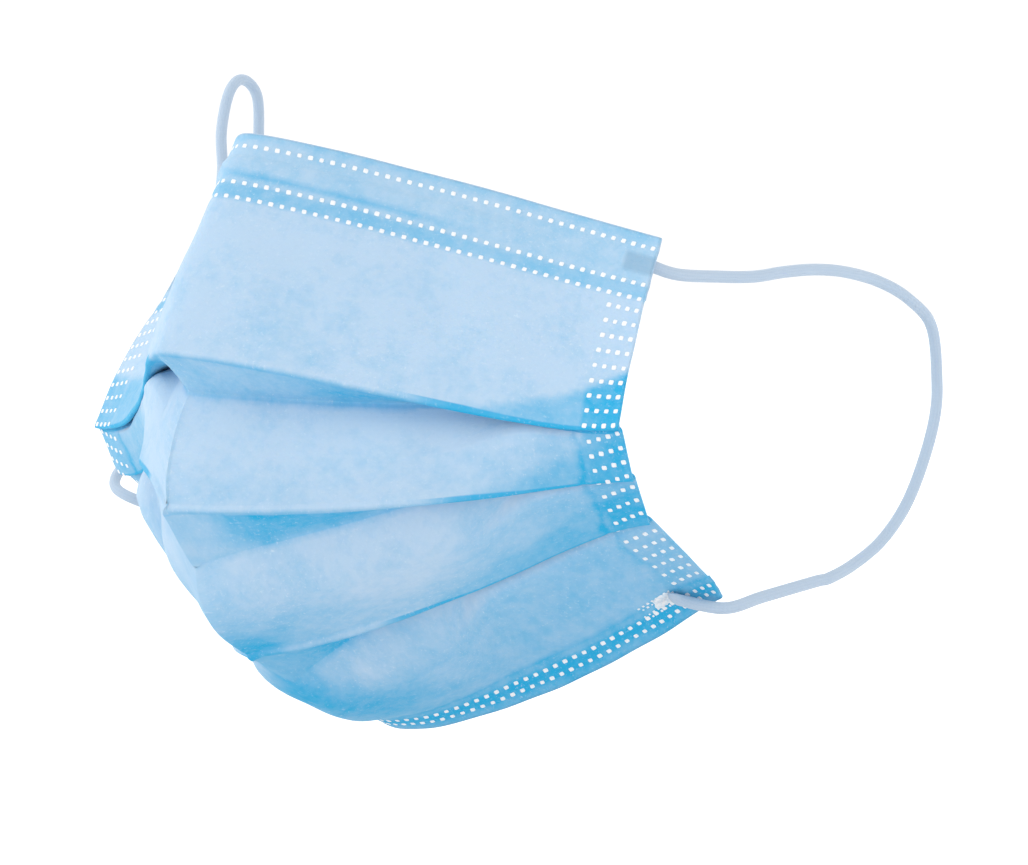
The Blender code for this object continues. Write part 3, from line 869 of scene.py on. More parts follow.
def sharpen(mesh, creased, columns):
    """Marks the pressed crease in the middle column, so that it stays crisp."""
    ends = np.empty(2 * len(mesh.edges), dtype=np.int32)
    mesh.edges.foreach_get("vertices", ends)
    ends = ends.reshape(-1, 2)
    middle = (ends % columns == columns // 2).all(axis=1)
    rows = ends // columns
    sharp = middle & (rows >= creased[0]).all(axis=1) & (rows <= creased[1]).all(axis=1)
    layer = mesh.attributes.new("sharp_edge", "BOOLEAN", "EDGE")
    layer.data.foreach_set("value", sharp)


def give_thickness(thing, thickness, offset=0.0, inner_slot=0):
    solid = thing.modifiers.new("plies", "SOLIDIFY")
    solid.thickness = thickness * MM
    solid.offset = offset
    solid.material_offset = inner_slot
    solid.material_offset_rim = 0
    solid.use_even_offset = False


# Node trees are written with a small helper: each node takes its settings and its inputs in one call.
def node(tree, kind, inputs=None, **settings):
    made = tree.nodes.new(kind)
    for name, value in settings.items():
        setattr(made, name, value)
    for key, value in (inputs or {}).items():
        if isinstance(value, bpy.types.NodeSocket):
            tree.links.new(value, made.inputs[key])
        else:
            made.inputs[key].default_value = value
    return made


def calc(tree, operation, *values):
    return node(tree, "ShaderNodeMath", dict(enumerate(values)), operation=operation).outputs[0]


def times(tree, *values):
    return calc(tree, "MULTIPLY", *values)


def plus(tree, *values):
    return calc(tree, "ADD", *values)


def vector_calc(tree, operation, *values, out=0):
    return node(tree, "ShaderNodeVectorMath", dict(enumerate(values)), operation=operation).outputs[out]


def vector_times(tree, *values):
    return vector_calc(tree, "MULTIPLY", *values)


def ramp(tree, value, low, high, to_low=0.0, to_high=1.0):
    return node(tree, "ShaderNodeMapRange", {0: value, 1: low, 2: high, 3: to_low, 4: to_high},
                interpolation_type="SMOOTHSTEP").outputs[0]


def tint(tree, factor, first, last):
    return node(tree, "ShaderNodeMix", {0: factor, 6: first, 7: last}, data_type="RGBA").outputs[2]


def attribute(tree, name):
    return node(tree, "ShaderNodeAttribute", attribute_name=name).outputs["Fac"]


def noise(tree, vector, scale, detail=2.0, roughness=0.5):
    return node(tree, "ShaderNodeTexNoise", {"Vector": vector, "Scale": scale, "Detail": detail,
                                             "Roughness": roughness}).outputs["Fac"]


def new_material(name):
    material = bpy.data.materials.new(name)
    material.use_nodes = True
    tree = material.node_tree
    return material, tree, tree.nodes["Principled BSDF"]


def object_place(tree):
    return node(tree, "ShaderNodeTexCoord").outputs["Object"]


def finish_material(tree, shader, base, height, bump, roughness, subsurface=None, sheen=None):
    """Joins a material: bump is its strength and depth in metres, subsurface its weight, scale and radius."""
    strength, depth = bump
    raised = node(tree, "ShaderNodeBump", {"Strength": strength, "Distance": depth, "Height": height})
    given = {"Base Color": base, "Normal": raised.outputs[0], "Roughness": roughness}
    if subsurface:
        given.update(zip(("Subsurface Weight", "Subsurface Scale", "Subsurface Radius"), subsurface))
    if sheen:
        given["Sheen Weight"] = sheen
    for key, value in given.items():
        if isinstance(value, bpy.types.NodeSocket):
            tree.links.new(value, shader.inputs[key])
        else:
            shader.inputs[key].default_value = value


def colour(r, g, b):
    return (r, g, b, 1.0)


def cut_place(tree):
    """Place on the flat cut, in millimetres."""
    uv = node(tree, "ShaderNodeUVMap", uv_map="cut").outputs[0]
    return vector_times(tree, uv, (FLAT_WIDTH, FLAT_WIDTH, 1.0))


def fibres(tree, place):
    """Loose random fibres: two stretched noises at a slant to each other."""
    found = []
    for slant, seed in ((0.55, 3.0), (-0.75, 19.0), (1.45, 41.0)):
        turned = node(tree, "ShaderNodeMapping", {"Vector": place, "Location": (seed, seed, 0.0),
                                                  "Rotation": (0.0, 0.0, slant), "Scale": (0.35, 3.2, 1.0)})
        found.append(noise(tree, turned.outputs[0], 1.6, 3.0, 0.6))
    return calc(tree, "MAXIMUM", calc(tree, "MAXIMUM", *found[:2]), found[2])


def point_bonds(tree, place, pitch):
    """The rolled-in pattern of small oval bonds, in staggered rows."""
    turned = node(tree, "ShaderNodeMapping", {"Vector": place, "Rotation": (0.0, 0.0, math.radians(45)),
                                              "Scale": (1 / pitch, 1 / pitch, 1.0)}).outputs[0]
    cell = vector_calc(tree, "SUBTRACT", vector_calc(tree, "FRACTION", turned), (0.5, 0.5, 0.0))
    flat = vector_times(tree, cell, (1.0, 1.45, 0.0))
    return ramp(tree, vector_calc(tree, "LENGTH", flat, out=1), 0.20, 0.34, 1.0, 0.0)


# How strong the cloth's bump is, and its depth in metres
CLOTH_BUMP = (0.35, 0.00012)
BOND_PITCH = 1.35


def nonwoven(name, lit, deep, pale):
    """Spunbond nonwoven: clouds of thicker and thinner fibre, fine specks, rolled bonds, soft sheen; its blue
    deepens with the layers attribute, which holds stacked plies and painted shade, and a painted shadow line
    runs under each fold edge.
    """
    material, tree, shader = new_material(name)
    place = cut_place(tree)
    clouds = noise(tree, place, 0.11, 4.0, 0.55)
    specks = plus(tree, times(tree, noise(tree, place, 1.05, 3.0, 0.65), 0.55),
                  times(tree, noise(tree, place, 2.4, 2.0, 0.7), 0.45))
    strands = fibres(tree, place)
    bonds = point_bonds(tree, place, BOND_PITCH)
    # layers: the deep blue of stacked plies together with painted shade
    layers, press = attribute(tree, "layers"), attribute(tree, "press")
    mottle = noise(tree, place, 0.42, 4.0, 0.62)
    depth = plus(tree, layers, ramp(tree, clouds, 0.30, 0.72, -0.08, 0.12))
    depth = plus(tree, depth, ramp(tree, mottle, 0.34, 0.68, -0.06, 0.08))
    base = tint(tree, depth, lit, deep)
    # Painted shadow: a thin deep-blue line on the cloth just under each fold edge
    line = times(tree, ramp(tree, attribute(tree, "below_fold"), *FOLD_SHADOW_WIDTH, FOLD_SHADOW_STRENGTH, 0.0),
                 ramp(tree, clouds, 0.25, 0.6, 0.75, 1.0))
    base = tint(tree, line, base, deep)
    patches = ramp(tree, noise(tree, place, 0.055, 3.0, 0.6), 0.38, 0.66, 0.35, 1.0)
    bright = times(tree, ramp(tree, specks, 0.53, 0.70, 0.0, 0.50), patches)
    dull = times(tree, ramp(tree, specks, 0.46, 0.32, 0.0, 0.16), patches)
    base = tint(tree, bright, base, pale)
    base = tint(tree, dull, base, deep)
    base = tint(tree, times(tree, attribute(tree, "elastic_behind"), 0.6), base,
                colour(0.24, 0.40, 0.55))
    height = calc(tree, "SUBTRACT", times(tree, strands, 0.6), times(tree, bonds, 0.5))
    height = plus(tree, height, times(tree, specks, 0.25))
    finish_material(tree, shader, base, height, CLOTH_BUMP, ramp(tree, press, 0.0, 1.0, 0.78, 0.55),
                    (0.2, 0.0005, (0.5, 0.8, 1.0)), 0.06)
    shader.inputs["Sheen Roughness"].default_value = 0.5
    shader.inputs["Specular IOR Level"].default_value = 0.25
    return material


def white_ply():
    """The inner ply: white nonwoven, a little bluer where plies lie on each other and where painted shade is
    carried in the layers attribute.
    """
    material, tree, shader = new_material("white_inner_ply")
    place = cut_place(tree)
    clouds = noise(tree, place, 0.13, 4.0, 0.55)
    specks = noise(tree, place, 2.6, 2.0, 0.7)
    base = tint(tree, ramp(tree, clouds, 0.3, 0.75), colour(0.80, 0.84, 0.87), colour(0.72, 0.79, 0.85))
    base = tint(tree, times(tree, attribute(tree, "layers"), 0.25), base, colour(0.60, 0.74, 0.84))
    bonds = times(tree, point_bonds(tree, place, BOND_PITCH), 0.5)
    height = calc(tree, "SUBTRACT", fibres(tree, place), bonds)
    height = plus(tree, height, times(tree, specks, 0.3))
    finish_material(tree, shader, base, height, CLOTH_BUMP, 0.8, (0.25, 0.0012, (0.8, 0.9, 1.0)), 0.1)
    return material


def bonded_film():
    """Fibre melted to a clouded film at the bonded dots."""
    material, tree, shader = new_material("bonded_film")
    place = object_place(tree)
    specks = noise(tree, place, 900.0, 2.0, 0.6)
    base = tint(tree, specks, colour(0.86, 0.91, 0.96), colour(0.97, 0.98, 1.0))
    finish_material(tree, shader, base, specks, (0.3, 0.00005), 0.35, (0.3, 0.0006, (0.7, 0.85, 1.0)))
    return material


def knitted_elastic():
    """Round knitted elastic: fine ribs of loops along the cord, slightly fuzzy."""
    material, tree, shader = new_material("knitted_elastic")
    uv = node(tree, "ShaderNodeUVMap", uv_map="cut").outputs[0]
    cells = vector_times(tree, uv, (12.0, 300.0, 1.0))
    wobble = noise(tree, cells, 0.8, 2.0)
    split = node(tree, "ShaderNodeSeparateXYZ", {"Vector": cells})
    ribs = calc(tree, "SINE", times(tree, split.outputs[0], 2 * math.pi))
    loops = calc(tree, "SINE", plus(tree, times(tree, split.outputs[1], 2 * math.pi),
                                    times(tree, ribs, 1.4)))
    knit = plus(tree, times(tree, ribs, 0.5), times(tree, loops, 0.4))
    height = plus(tree, times(tree, knit, 0.6), times(tree, wobble, 0.8))
    base = tint(tree, ramp(tree, height, -0.6, 1.4), colour(0.44, 0.55, 0.67), colour(0.50, 0.60, 0.71))
    base = tint(tree, ramp(tree, noise(tree, cells, 0.05, 3.0), 0.35, 0.7, 0.0, 0.35), base,
                colour(0.48, 0.58, 0.70))
    finish_material(tree, shader, base, height, (0.35, 0.0001), 0.8, (0.3, 0.0012, (0.8, 0.9, 1.0)), 0.25)
    return material


def melted_elastic():
    """The rough, shiny end of a loop where it was melted in."""
    material, tree, shader = new_material("melted_elastic")
    place = object_place(tree)
    lumps = noise(tree, place, 1400.0, 3.0, 0.6)
    base = tint(tree, ramp(tree, lumps, 0.35, 0.65), colour(0.66, 0.78, 0.90), colour(0.93, 0.96, 1.0))
    finish_material(tree, shader, base, lumps, (0.5, 0.00015), 0.4, (0.3, 0.0008, (0.7, 0.85, 1.0)))
    return material


def wire_coating():
    """The wire's smooth plastic coating."""
    material, tree, shader = new_material("wire_coating")
    place = object_place(tree)
    streaks = noise(tree, vector_times(tree, place, (60.0, 900.0, 900.0)), 1.0, 2.0)
    base = tint(tree, streaks, colour(0.80, 0.83, 0.86), colour(0.88, 0.90, 0.92))
    finish_material(tree, shader, base, streaks, (0.2, 0.00005), 0.4)
    return material


def studio_floor():
    """A pale floor that fades into the backdrop: grey near the middle, a painted soft shadow under the mask,
    turning pale and glowing further out (painted light) so that it meets the white backdrop.
    """
    material, tree, shader = new_material("studio_floor")
    place = object_place(tree)
    grain = noise(tree, place, 3.0, 3.0)
    # Painted shadow and light: grey near the middle, pale and glowing further out
    away = ramp(tree, vector_calc(tree, "LENGTH", place, out=1), 0.22, 0.42)
    near = tint(tree, grain, colour(0.74, 0.75, 0.77), colour(0.77, 0.78, 0.79))
    tree.links.new(tint(tree, away, near, colour(0.93, 0.93, 0.93)), shader.inputs["Base Color"])
    tree.links.new(times(tree, away, 0.35), shader.inputs["Emission Strength"])
    shader.inputs["Emission Color"].default_value = colour(1, 1, 1)
    shader.inputs["Roughness"].default_value = 0.9
    return material


# The cloth's blues: lit, deep (for stacked plies and the painted shade) and pale
BLUES = (colour(0.472, 0.632, 0.782), colour(0.015, 0.402, 0.693), colour(0.72, 0.80, 0.88))
BAND_BLUES = (colour(0.45, 0.59, 0.75), colour(0.05, 0.40, 0.69), colour(0.70, 0.80, 0.88))

# Studio light: the brightest direction of the sky, its least and most strength, and the key light
LIT_FROM = unit(np.array([-0.55, -0.45, 0.75]))
SKY_LIGHT = (0.90, 1.06)
KEY_WATTS = 4.5
KEY_SIZE = 0.9
KEY_PLACE = (-0.75, -1.1, 0.9)
KEY_AIM = (0, 0.02, -0.06)
BACKDROP_STRENGTH = 1.05
FLOOR_HALF, FLOOR_HEIGHT = 4, -0.2

# Camera, as the photograph was taken
AZIMUTH, ELEVATION, ROLL = 43.179, 3.269, 2.796
LENS, DISTANCE = 135.13, 750.0
OFFSET_RIGHT, OFFSET_UP = 52.067, -57.913
SENSOR_WIDTH = 36.0
CLIP_DISTANCES = (0.01, 50.0)


def add_camera():
    a, e, r = (math.radians(angle) for angle in (AZIMUTH, ELEVATION, ROLL))
    back = np.array([math.sin(a) * math.cos(e), -math.cos(a) * math.cos(e), math.sin(e)])
    level = np.array([math.cos(a), math.sin(a), 0.0])
    plumb = np.cross(back, level)
    right = math.cos(r) * level - math.sin(r) * plumb
    up = math.sin(r) * level + math.cos(r) * plumb
    place = back * DISTANCE + right * OFFSET_RIGHT + up * OFFSET_UP - [0.0, NOSE_SEAT, 0.0]
    data = bpy.data.cameras.new("camera")
    data.lens = LENS
    data.sensor_width = SENSOR_WIDTH
    data.clip_start, data.clip_end = CLIP_DISTANCES
    camera = bpy.data.objects.new("camera", data)
    bpy.context.scene.collection.objects.link(camera)
    turned = Matrix([[*axis] for axis in zip(right, up, back)]).to_4x4()
    turned.translation = Vector(place * MM)
    camera.matrix_world = turned
    bpy.context.scene.camera = camera


def smooth_route(stops, step):
    """Evenly spaced points on the smooth curve through the stops."""
    stops = np.asarray(stops)
    padded = np.vstack([2 * stops[0] - stops[1], stops, 2 * stops[-1] - stops[-2]])
    fine = []
    for before, start, end, after in zip(padded, padded[1:], padded[2:], padded[3:]):
        for share in np.linspace(0.0, 1.0, ROUTE_STEPS, endpoint=False):
            fine.append(0.5 * (2 * start + (end - before) * share
                               + (2 * before - 5 * start + 4 * end - after) * share ** 2
                               + (3 * start - before - 3 * end + after) * share ** 3))
    fine = np.vstack([fine, stops[-1]])
    run = np.concatenate([[0.0], np.cumsum(np.linalg.norm(np.diff(fine, axis=0), axis=1))])
    places = np.linspace(0.0, run[-1], round(run[-1] / step) + 1)
    return np.column_stack([np.interp(places, run, fine[:, axis]) for axis in range(3)]), run[-1]


def tube_mesh(name, route, radius, sides, flat_ends):
    """A closed tube along a route, its ends pressed flat where they are melted into the cloth."""
    ahead = unit(np.gradient(route, axis=0))
    length = np.linalg.norm(np.diff(route, axis=0), axis=1).sum()
    far = np.linspace(0.0, length, len(route))
    beside = unit(np.cross(ahead[0], flat_ends[0]))
    rings = []
    for number, (point, way) in enumerate(zip(route, ahead)):
        beside = unit(beside - way * (beside @ way))
        above = np.cross(beside, way)
        ends = ((far[number], flat_ends[0]), (length - far[number], flat_ends[1]))
        angle = np.linspace(0, 2 * math.pi, sides, endpoint=False)
        ring = np.outer(np.cos(angle), beside) + np.outer(np.sin(angle), above)
        for away, facing in ends:
            melt = 1 - smooth_step(*MELT_REACH, away)
            if melt > 0:
                side = unit(np.cross(way, facing))
                top = np.cross(side, way)
                ring = (np.outer(ring @ side, side) * (1 + MELT_WIDER * melt)
                        + np.outer(ring @ top, top) * (1 - MELT_FLATTER * melt))
        rings.append(point + ring * radius)
    rings = np.array(rings)
    count = len(rings)
    vertices = np.vstack([rings.reshape(-1, 3), route[0], route[-1]]) * MM
    faces, uvs = [], []
    for i in range(count - 1):
        v0, v1 = i / (count - 1), (i + 1) / (count - 1)
        for j in range(sides):
            k = (j + 1) % sides
            u0, u1 = j / sides, (j + 1) / sides
            faces.append((i * sides + j, i * sides + k, (i + 1) * sides + k, (i + 1) * sides + j))
            uvs += [(u0, v0), (u1, v0), (u1, v1), (u0, v1)]
    for j in range(sides):
        k = (j + 1) % sides
        faces.append((count * sides, k, j))
        uvs += [(0.5, 0.0), ((j + 1) / sides, 0.0), (j / sides, 0.0)]
        last = (count - 1) * sides
        faces.append((count * sides + 1, last + j, last + k))
        uvs += [(0.5, 1.0), (j / sides, 1.0), ((j + 1) / sides, 1.0)]
    mesh = bpy.data.meshes.new(name)
    mesh.from_pydata(vertices.tolist(), [], faces)
    layer = mesh.uv_layers.new(name="cut")
    layer.data.foreach_set("uv", np.array(uvs, dtype=np.float32).ravel())
    mesh.shade_smooth()
    mesh.update()
    return mesh


def ring_faces(rings, sectors):
    """Quads between rings of points, each ring holding the same number of sectors."""
    return [(ring * sectors + sector, (ring + 1) * sectors + sector,
             (ring + 1) * sectors + (sector + 1) % sectors, ring * sectors + (sector + 1) % sectors)
            for ring in range(rings - 1) for sector in range(sectors)]


def round_square(sector, sectors, power):
    """The angle, cosine, sine and reach of one point on a rounded square of half width 1."""
    angle = 2 * math.pi * sector / sectors
    c, n = math.cos(angle), math.sin(angle)
    return angle, c, n, (abs(c) ** power + abs(n) ** power) ** (1 / power)


def cord_end(cloth, weld, side):
    """The cord's middle over the cloth, from its weld to the side edge, and the cloth's facing there."""
    lift = PLIES / 2 + CORD_DIAMETER / 2
    if weld.inside > 0:
        lift += PLIES + BEHIND_GAP
    found = []
    for number, (across, share) in enumerate(weld.cord_places):
        point, normal, _ = cloth.find(*cloth.place(weld.lines, across * side, share))
        pressed = CORD_PRESSED if number == 0 else 1.0
        found.append(point - normal * weld.inside * lift * pressed)
        if number == 0:
            facing = normal
    return found, facing


def add_ear_loop(cloth, side_name, side, stops, material):
    upper, lower = WELDS
    start, start_facing = cord_end(cloth, upper, side)
    end, end_facing = cord_end(cloth, lower, side)
    free = list(soften(np.array(stops)))
    route, length = smooth_route(start + free + end[::-1], CORD_STEP)
    if np.linalg.norm(route[-1] - route[-2]) <= LEAST_STEP:
        route = route[:-1]
    mesh = tube_mesh(f"ear_loop_{side_name}_elastic", route, CORD_DIAMETER / 2, CORD_SIDES,
                     (start_facing, end_facing))
    loop = new_object(f"ear_loop_{side_name}_elastic", mesh, material)
    declare(loop, f"ear_loop_{side_name}")
    return loop, route, length


def strip_on(cloth, lines, places, depth, columns=range(len(ACROSS))):
    """Rows beside the inside of the cloth, between two of its lines."""
    first, last = (cloth.marks[name] for name in lines)
    found = []
    for place, deep in zip(places, depth):
        row = []
        for column in columns:
            start, end = cloth.down[first, column], cloth.down[last, column]
            point, normal, _ = cloth.find(cloth.row_at(column, start + (end - start) * place), column)
            row.append(point - normal * deep[column])
        found.append(row)
    return np.array(found)


def add_band(cloth, name, node_name, lines, roll, pocket, edge_depth, material):
    """A turned-in strip inside the cloth: it rolls over the cloth's edge and lies on its inside."""
    places = [place for place, _ in EDGE_ROLL]
    depths = [np.full(len(ACROSS), depth) for _, depth in EDGE_ROLL]
    lying = PLIES / 2 + BAND_PLY / 2 + BAND_GAP
    open_pocket = 1 - smooth_step(*POCKET_ENDS, np.abs(ACROSS))
    for place in np.linspace(*BAND_ROWS):
        away = abs(place - WIRE_PLACE) * WIRE_BAND_WIDTH / (WIRE_WIDTH / 2)
        raised = math.exp(-max(away - BAND_RIDGE_FLAT, 0.0) ** 2 * RIDGE_FALL) * pocket
        places.append(place)
        depths.append(lying + raised * open_pocket * (WIRE_RIDGE + RIDGE_CLEAR))
    if roll < 0:
        places = [1 - place for place in places][::-1]
        depths = depths[::-1]
    grid = strip_on(cloth, lines, places, depths)
    zeros = np.zeros(grid.shape[:2])
    mesh = grid_mesh(name, grid, cloth.cut_places(np.asarray(places) * BAND_CUT),
                     {"layers": zeros + edge_depth, "press": zeros + BAND_PRESS,
                      "below_fold": zeros + FAR_BELOW, "elastic_behind": zeros})
    band = new_object(name, mesh, material)
    give_thickness(band, BAND_PLY)
    declare(band, node_name)
    return band


def add_nose_wire(cloth, material):
    """The flat coated wire in its pocket, its ends and edges rounded."""
    reach = [column for column in range(len(ACROSS)) if abs(ACROSS[column]) <= WIRE_REACH]
    half = WIRE_WIDTH / 2 / WIRE_BAND_WIDTH
    places = WIRE_PLACE + half * np.linspace(-1, 1, WIRE_ROWS)
    depth = np.full(len(ACROSS), PLIES / 2 + WIRE_GAP + WIRE_THICKNESS / 2)
    grid = strip_on(cloth, ("top", "band"), places, [depth] * WIRE_ROWS, reach)
    middle = grid[WIRE_ROWS // 2:WIRE_ROWS // 2 + 1]
    for number, squeeze in enumerate(WIRE_TAPER):
        for column in (number, len(reach) - 1 - number):
            grid[:, column] = middle[:, column] + (grid[:, column] - middle[:, column]) * squeeze
    wire = new_object("nose_wire_strip", grid_mesh("nose_wire_strip", grid), material)
    give_thickness(wire, WIRE_THICKNESS)
    soft = wire.modifiers.new("rounded", "BEVEL")
    soft.width = WIRE_EDGE * MM
    soft.segments = 2
    declare(wire, "nose_wire")


def add_weld(cloth, weld, side_name, side, material):
    """The pressed end of an ear loop: a rough rounded pad, melted into the cloth."""
    picks = np.random.default_rng(WELD_SEEDS[0 if weld.inside > 0 else 1])
    across_middle, across_half = sum(weld.across) / 2, (weld.across[1] - weld.across[0]) / 2
    place_middle, place_half = sum(weld.places) / 2, (weld.places[1] - weld.places[0]) / 2
    rings, sectors = WELD_RINGS, WELD_SECTORS
    lumps = picks.uniform(-1, 1, size=(rings + 1, sectors))
    base = PLIES / 2 + (BAND_PLY + WELD_GAP if weld.inside > 0 else 0.0)
    tall = WELD_HEIGHT if weld.inside > 0 else LOWER_WELD_HEIGHT
    points = []
    for ring in range(rings + 1):
        far = (ring + WELD_CENTRE) / rings
        for sector in range(sectors):
            angle, c, n, reach = round_square(sector, sectors, WELD_ROUNDNESS)
            wobble = (swing * math.sin(waves * angle + phase) for swing, waves, phase in WELD_OUTLINE)
            square = far / reach * sum(wobble, 1)
            across = (across_middle + across_half * square * c) * side
            row, column = cloth.place(weld.lines, across, place_middle + place_half * square * n)
            point, normal, _ = cloth.find(row, column)
            rough = WELD_ROUGHNESS * lumps[ring, sector] if ring < rings else -WELD_RIM_SUNK
            points.append(point - normal * weld.inside * (base + (tall * (1 - far ** WELD_DOME) + rough)))
    faces = ring_faces(rings + 1, sectors) + [tuple(range(sectors))]
    name = f"weld_{weld.name}_{side_name}_pad"
    mesh = bpy.data.meshes.new(name)
    mesh.from_pydata((np.array(points) * MM).tolist(), [], faces)
    turned = bmesh.new()
    turned.from_mesh(mesh)
    turned.normal_update()
    turned.faces.ensure_lookup_table()
    outward = cloth.find(*cloth.place(weld.lines, across_middle * side, place_middle))[1] * -weld.inside
    if turned.faces[-1].normal.dot(Vector(outward)) < 0:
        bmesh.ops.reverse_faces(turned, faces=turned.faces)
    turned.to_mesh(mesh)
    turned.free()
    mesh.shade_smooth()
    pad = new_object(name, mesh, material)
    give_thickness(pad, WELD_PLY, -1.0)
    declare(pad, f"weld_{weld.name}_{side_name}")


def dot_shape():
    """One bonded dot: a rounded square with a raised rim and a dished middle, one unit wide."""
    sectors = DOT_SECTORS
    points = []
    for radius, height in DOT_RINGS:
        for sector in range(sectors):
            _, c, n, reach = round_square(sector, sectors, DOT_ROUNDNESS)
            square = radius / reach
            points.append((square * c, square * n, height))
    points.append((0.0, 0.0, DOT_DISH))
    faces = [face[:1] + face[:0:-1] for face in ring_faces(len(DOT_RINGS), sectors)]
    last = (len(DOT_RINGS) - 1) * sectors
    faces += [(last + sector, last + (sector + 1) % sectors, len(points) - 1) for sector in range(sectors)]
    faces.append(tuple(range(sectors))[::-1])
    mesh = bpy.data.meshes.new("dot_shape")
    mesh.from_pydata(points, [], faces)
    mesh.shade_smooth()
    return new_object("dot_shape", mesh)


def dots_tree():
    """Sets a dot on every place, facing out of the cloth, each a little different in size and turn."""
    tree = bpy.data.node_groups.new("bonded dots", "GeometryNodeTree")
    sockets = {}
    for label, kind in (("Places", "NodeSocketGeometry"), ("Dot", "NodeSocketObject"),
                        ("Dot width", "NodeSocketFloat"), ("Size spread", "NodeSocketFloat"),
                        ("Turn spread", "NodeSocketFloat"), ("Seed", "NodeSocketInt"),
                        ("Film", "NodeSocketMaterial")):
        sockets[label] = tree.interface.new_socket(label, in_out="INPUT", socket_type=kind)
    tree.interface.new_socket("Dots", in_out="OUTPUT", socket_type="NodeSocketGeometry")
    given = node(tree, "NodeGroupInput").outputs
    facing = node(tree, "GeometryNodeInputNamedAttribute", {"Name": "facing"}, data_type="FLOAT_VECTOR")
    over = node(tree, "GeometryNodeInputNamedAttribute", {"Name": "over"}, data_type="FLOAT_VECTOR")
    stand = node(tree, "FunctionNodeAlignRotationToVector", {"Vector": facing.outputs[0]}, axis="Z")
    aim = node(tree, "FunctionNodeAlignRotationToVector", {"Rotation": stand.outputs[0],
                                                           "Vector": over.outputs[0]},
               axis="X", pivot_axis="Z")
    low = times(tree, given["Turn spread"], -1.0)
    angle = node(tree, "FunctionNodeRandomValue", {2: low, 3: given["Turn spread"], "Seed": given["Seed"]},
                 data_type="FLOAT")
    spin = node(tree, "FunctionNodeAxisAngleToRotation", {"Axis": (0.0, 0.0, 1.0), "Angle": angle.outputs[1]})
    turned = node(tree, "FunctionNodeRotateRotation", {"Rotation": aim.outputs[0],
                                                       "Rotate By": spin.outputs[0]}, rotation_space="LOCAL")
    small = calc(tree, "SUBTRACT", 1.0, given["Size spread"])
    large = plus(tree, 1.0, given["Size spread"])
    size = node(tree, "FunctionNodeRandomValue", {2: small, 3: large,
                                                  "Seed": plus(tree, given["Seed"], SIZE_SEED)},
                data_type="FLOAT")
    width = times(tree, size.outputs[1], given["Dot width"])
    dot = node(tree, "GeometryNodeObjectInfo", {"Object": given["Dot"]}, transform_space="ORIGINAL")
    placed = node(tree, "GeometryNodeInstanceOnPoints", {"Points": given["Places"],
                                                         "Instance": dot.outputs["Geometry"],
                                                         "Rotation": turned.outputs[0], "Scale": width})
    real = node(tree, "GeometryNodeRealizeInstances", {"Geometry": placed.outputs[0]})
    finished = node(tree, "GeometryNodeSetMaterial", {"Geometry": real.outputs[0], "Material": given["Film"]})
    node(tree, "NodeGroupOutput", {0: finished.outputs[0]})
    return tree, {label: socket.identifier for label, socket in sockets.items()}


def add_dots(cloth, name, places, inside, lift, width, spread, seed, film, shape, tree, inputs):
    """A field of bonded dots at row and column places on one side of the cloth."""
    found = []
    for row, column in places:
        here = cloth.find(row, column)
        if not (inside and found and np.linalg.norm(here[0] - found[-1][0]) < INSIDE_DOT_GAP):
            found.append(here)
    points = np.array([point + normal * (-lift if inside else lift) for point, normal, _ in found]) * MM
    facing = np.array([normal * (-1 if inside else 1) for _, normal, _ in found])
    over = np.array([way for _, _, way in found])
    seeds = bpy.data.meshes.new(name + "_places")
    seeds.from_pydata(points.tolist(), [], [])
    for label, values in (("facing", facing), ("over", over)):
        layer = seeds.attributes.new(label, "FLOAT_VECTOR", "POINT")
        layer.data.foreach_set("vector", values.ravel().astype(np.float32))
    holder = new_object(name + "_places", seeds)
    growth = holder.modifiers.new("dots", "NODES")
    growth.node_group = tree
    for label, value in (("Dot", shape), ("Dot width", width * MM), ("Size spread", spread),
                         ("Turn spread", DOT_TURN), ("Seed", seed), ("Film", film)):
        growth[inputs[label]] = value
    ready = holder.evaluated_get(bpy.context.evaluated_depsgraph_get())
    mesh = bpy.data.meshes.new_from_object(ready)
    holder.modifiers.clear()
    bpy.data.objects.remove(holder, do_unlink=True)
    mesh.name = name
    mesh.materials.clear()
    dots = new_object(name, mesh, film)
    declare(dots, None)


def add_floor():
    floor_mesh = bpy.data.meshes.new("floor")
    half = FLOOR_HALF
    corners = [(x, y, FLOOR_HEIGHT) for x, y in ((-half, -half), (half, -half), (half, half), (-half, half))]
    floor_mesh.from_pydata(corners, [], [(0, 1, 2, 3)])
    floor = new_object("floor", floor_mesh, studio_floor())


def add_light(scene):
    """A white backdrop, a soft sky that the camera doesn't see, and a weak key light."""
    world = bpy.data.worlds.new("studio")
    scene.world = world
    world.use_nodes = True
    sky = world.node_tree
    backdrop = sky.nodes["Background"]
    backdrop.inputs["Color"].default_value = colour(1, 1, 1)
    backdrop.inputs["Strength"].default_value = BACKDROP_STRENGTH
    ways = node(sky, "ShaderNodeTexCoord").outputs["Generated"]
    glow = ramp(sky, vector_calc(sky, "DOT_PRODUCT", ways, tuple(LIT_FROM), out=1), -1.0, 1.0, *SKY_LIGHT)
    soft = node(sky, "ShaderNodeBackground", {"Color": colour(0.97, 0.98, 1.0), "Strength": glow})
    seen = node(sky, "ShaderNodeLightPath").outputs["Is Camera Ray"]
    mixed = node(sky, "ShaderNodeMixShader", {0: seen, 1: soft.outputs[0], 2: backdrop.outputs[0]})
    sky.links.new(mixed.outputs[0], sky.nodes["World Output"].inputs["Surface"])
    light = bpy.data.lights.new("key", "AREA")
    light.energy = KEY_WATTS
    light.size = KEY_SIZE
    key = bpy.data.objects.new("key", light)
    scene.collection.objects.link(key)
    key.location = KEY_PLACE
    key.rotation_mode = "QUATERNION"
    key.rotation_quaternion = (Vector(KEY_AIM) - key.location).to_track_quat("-Z", "Y")


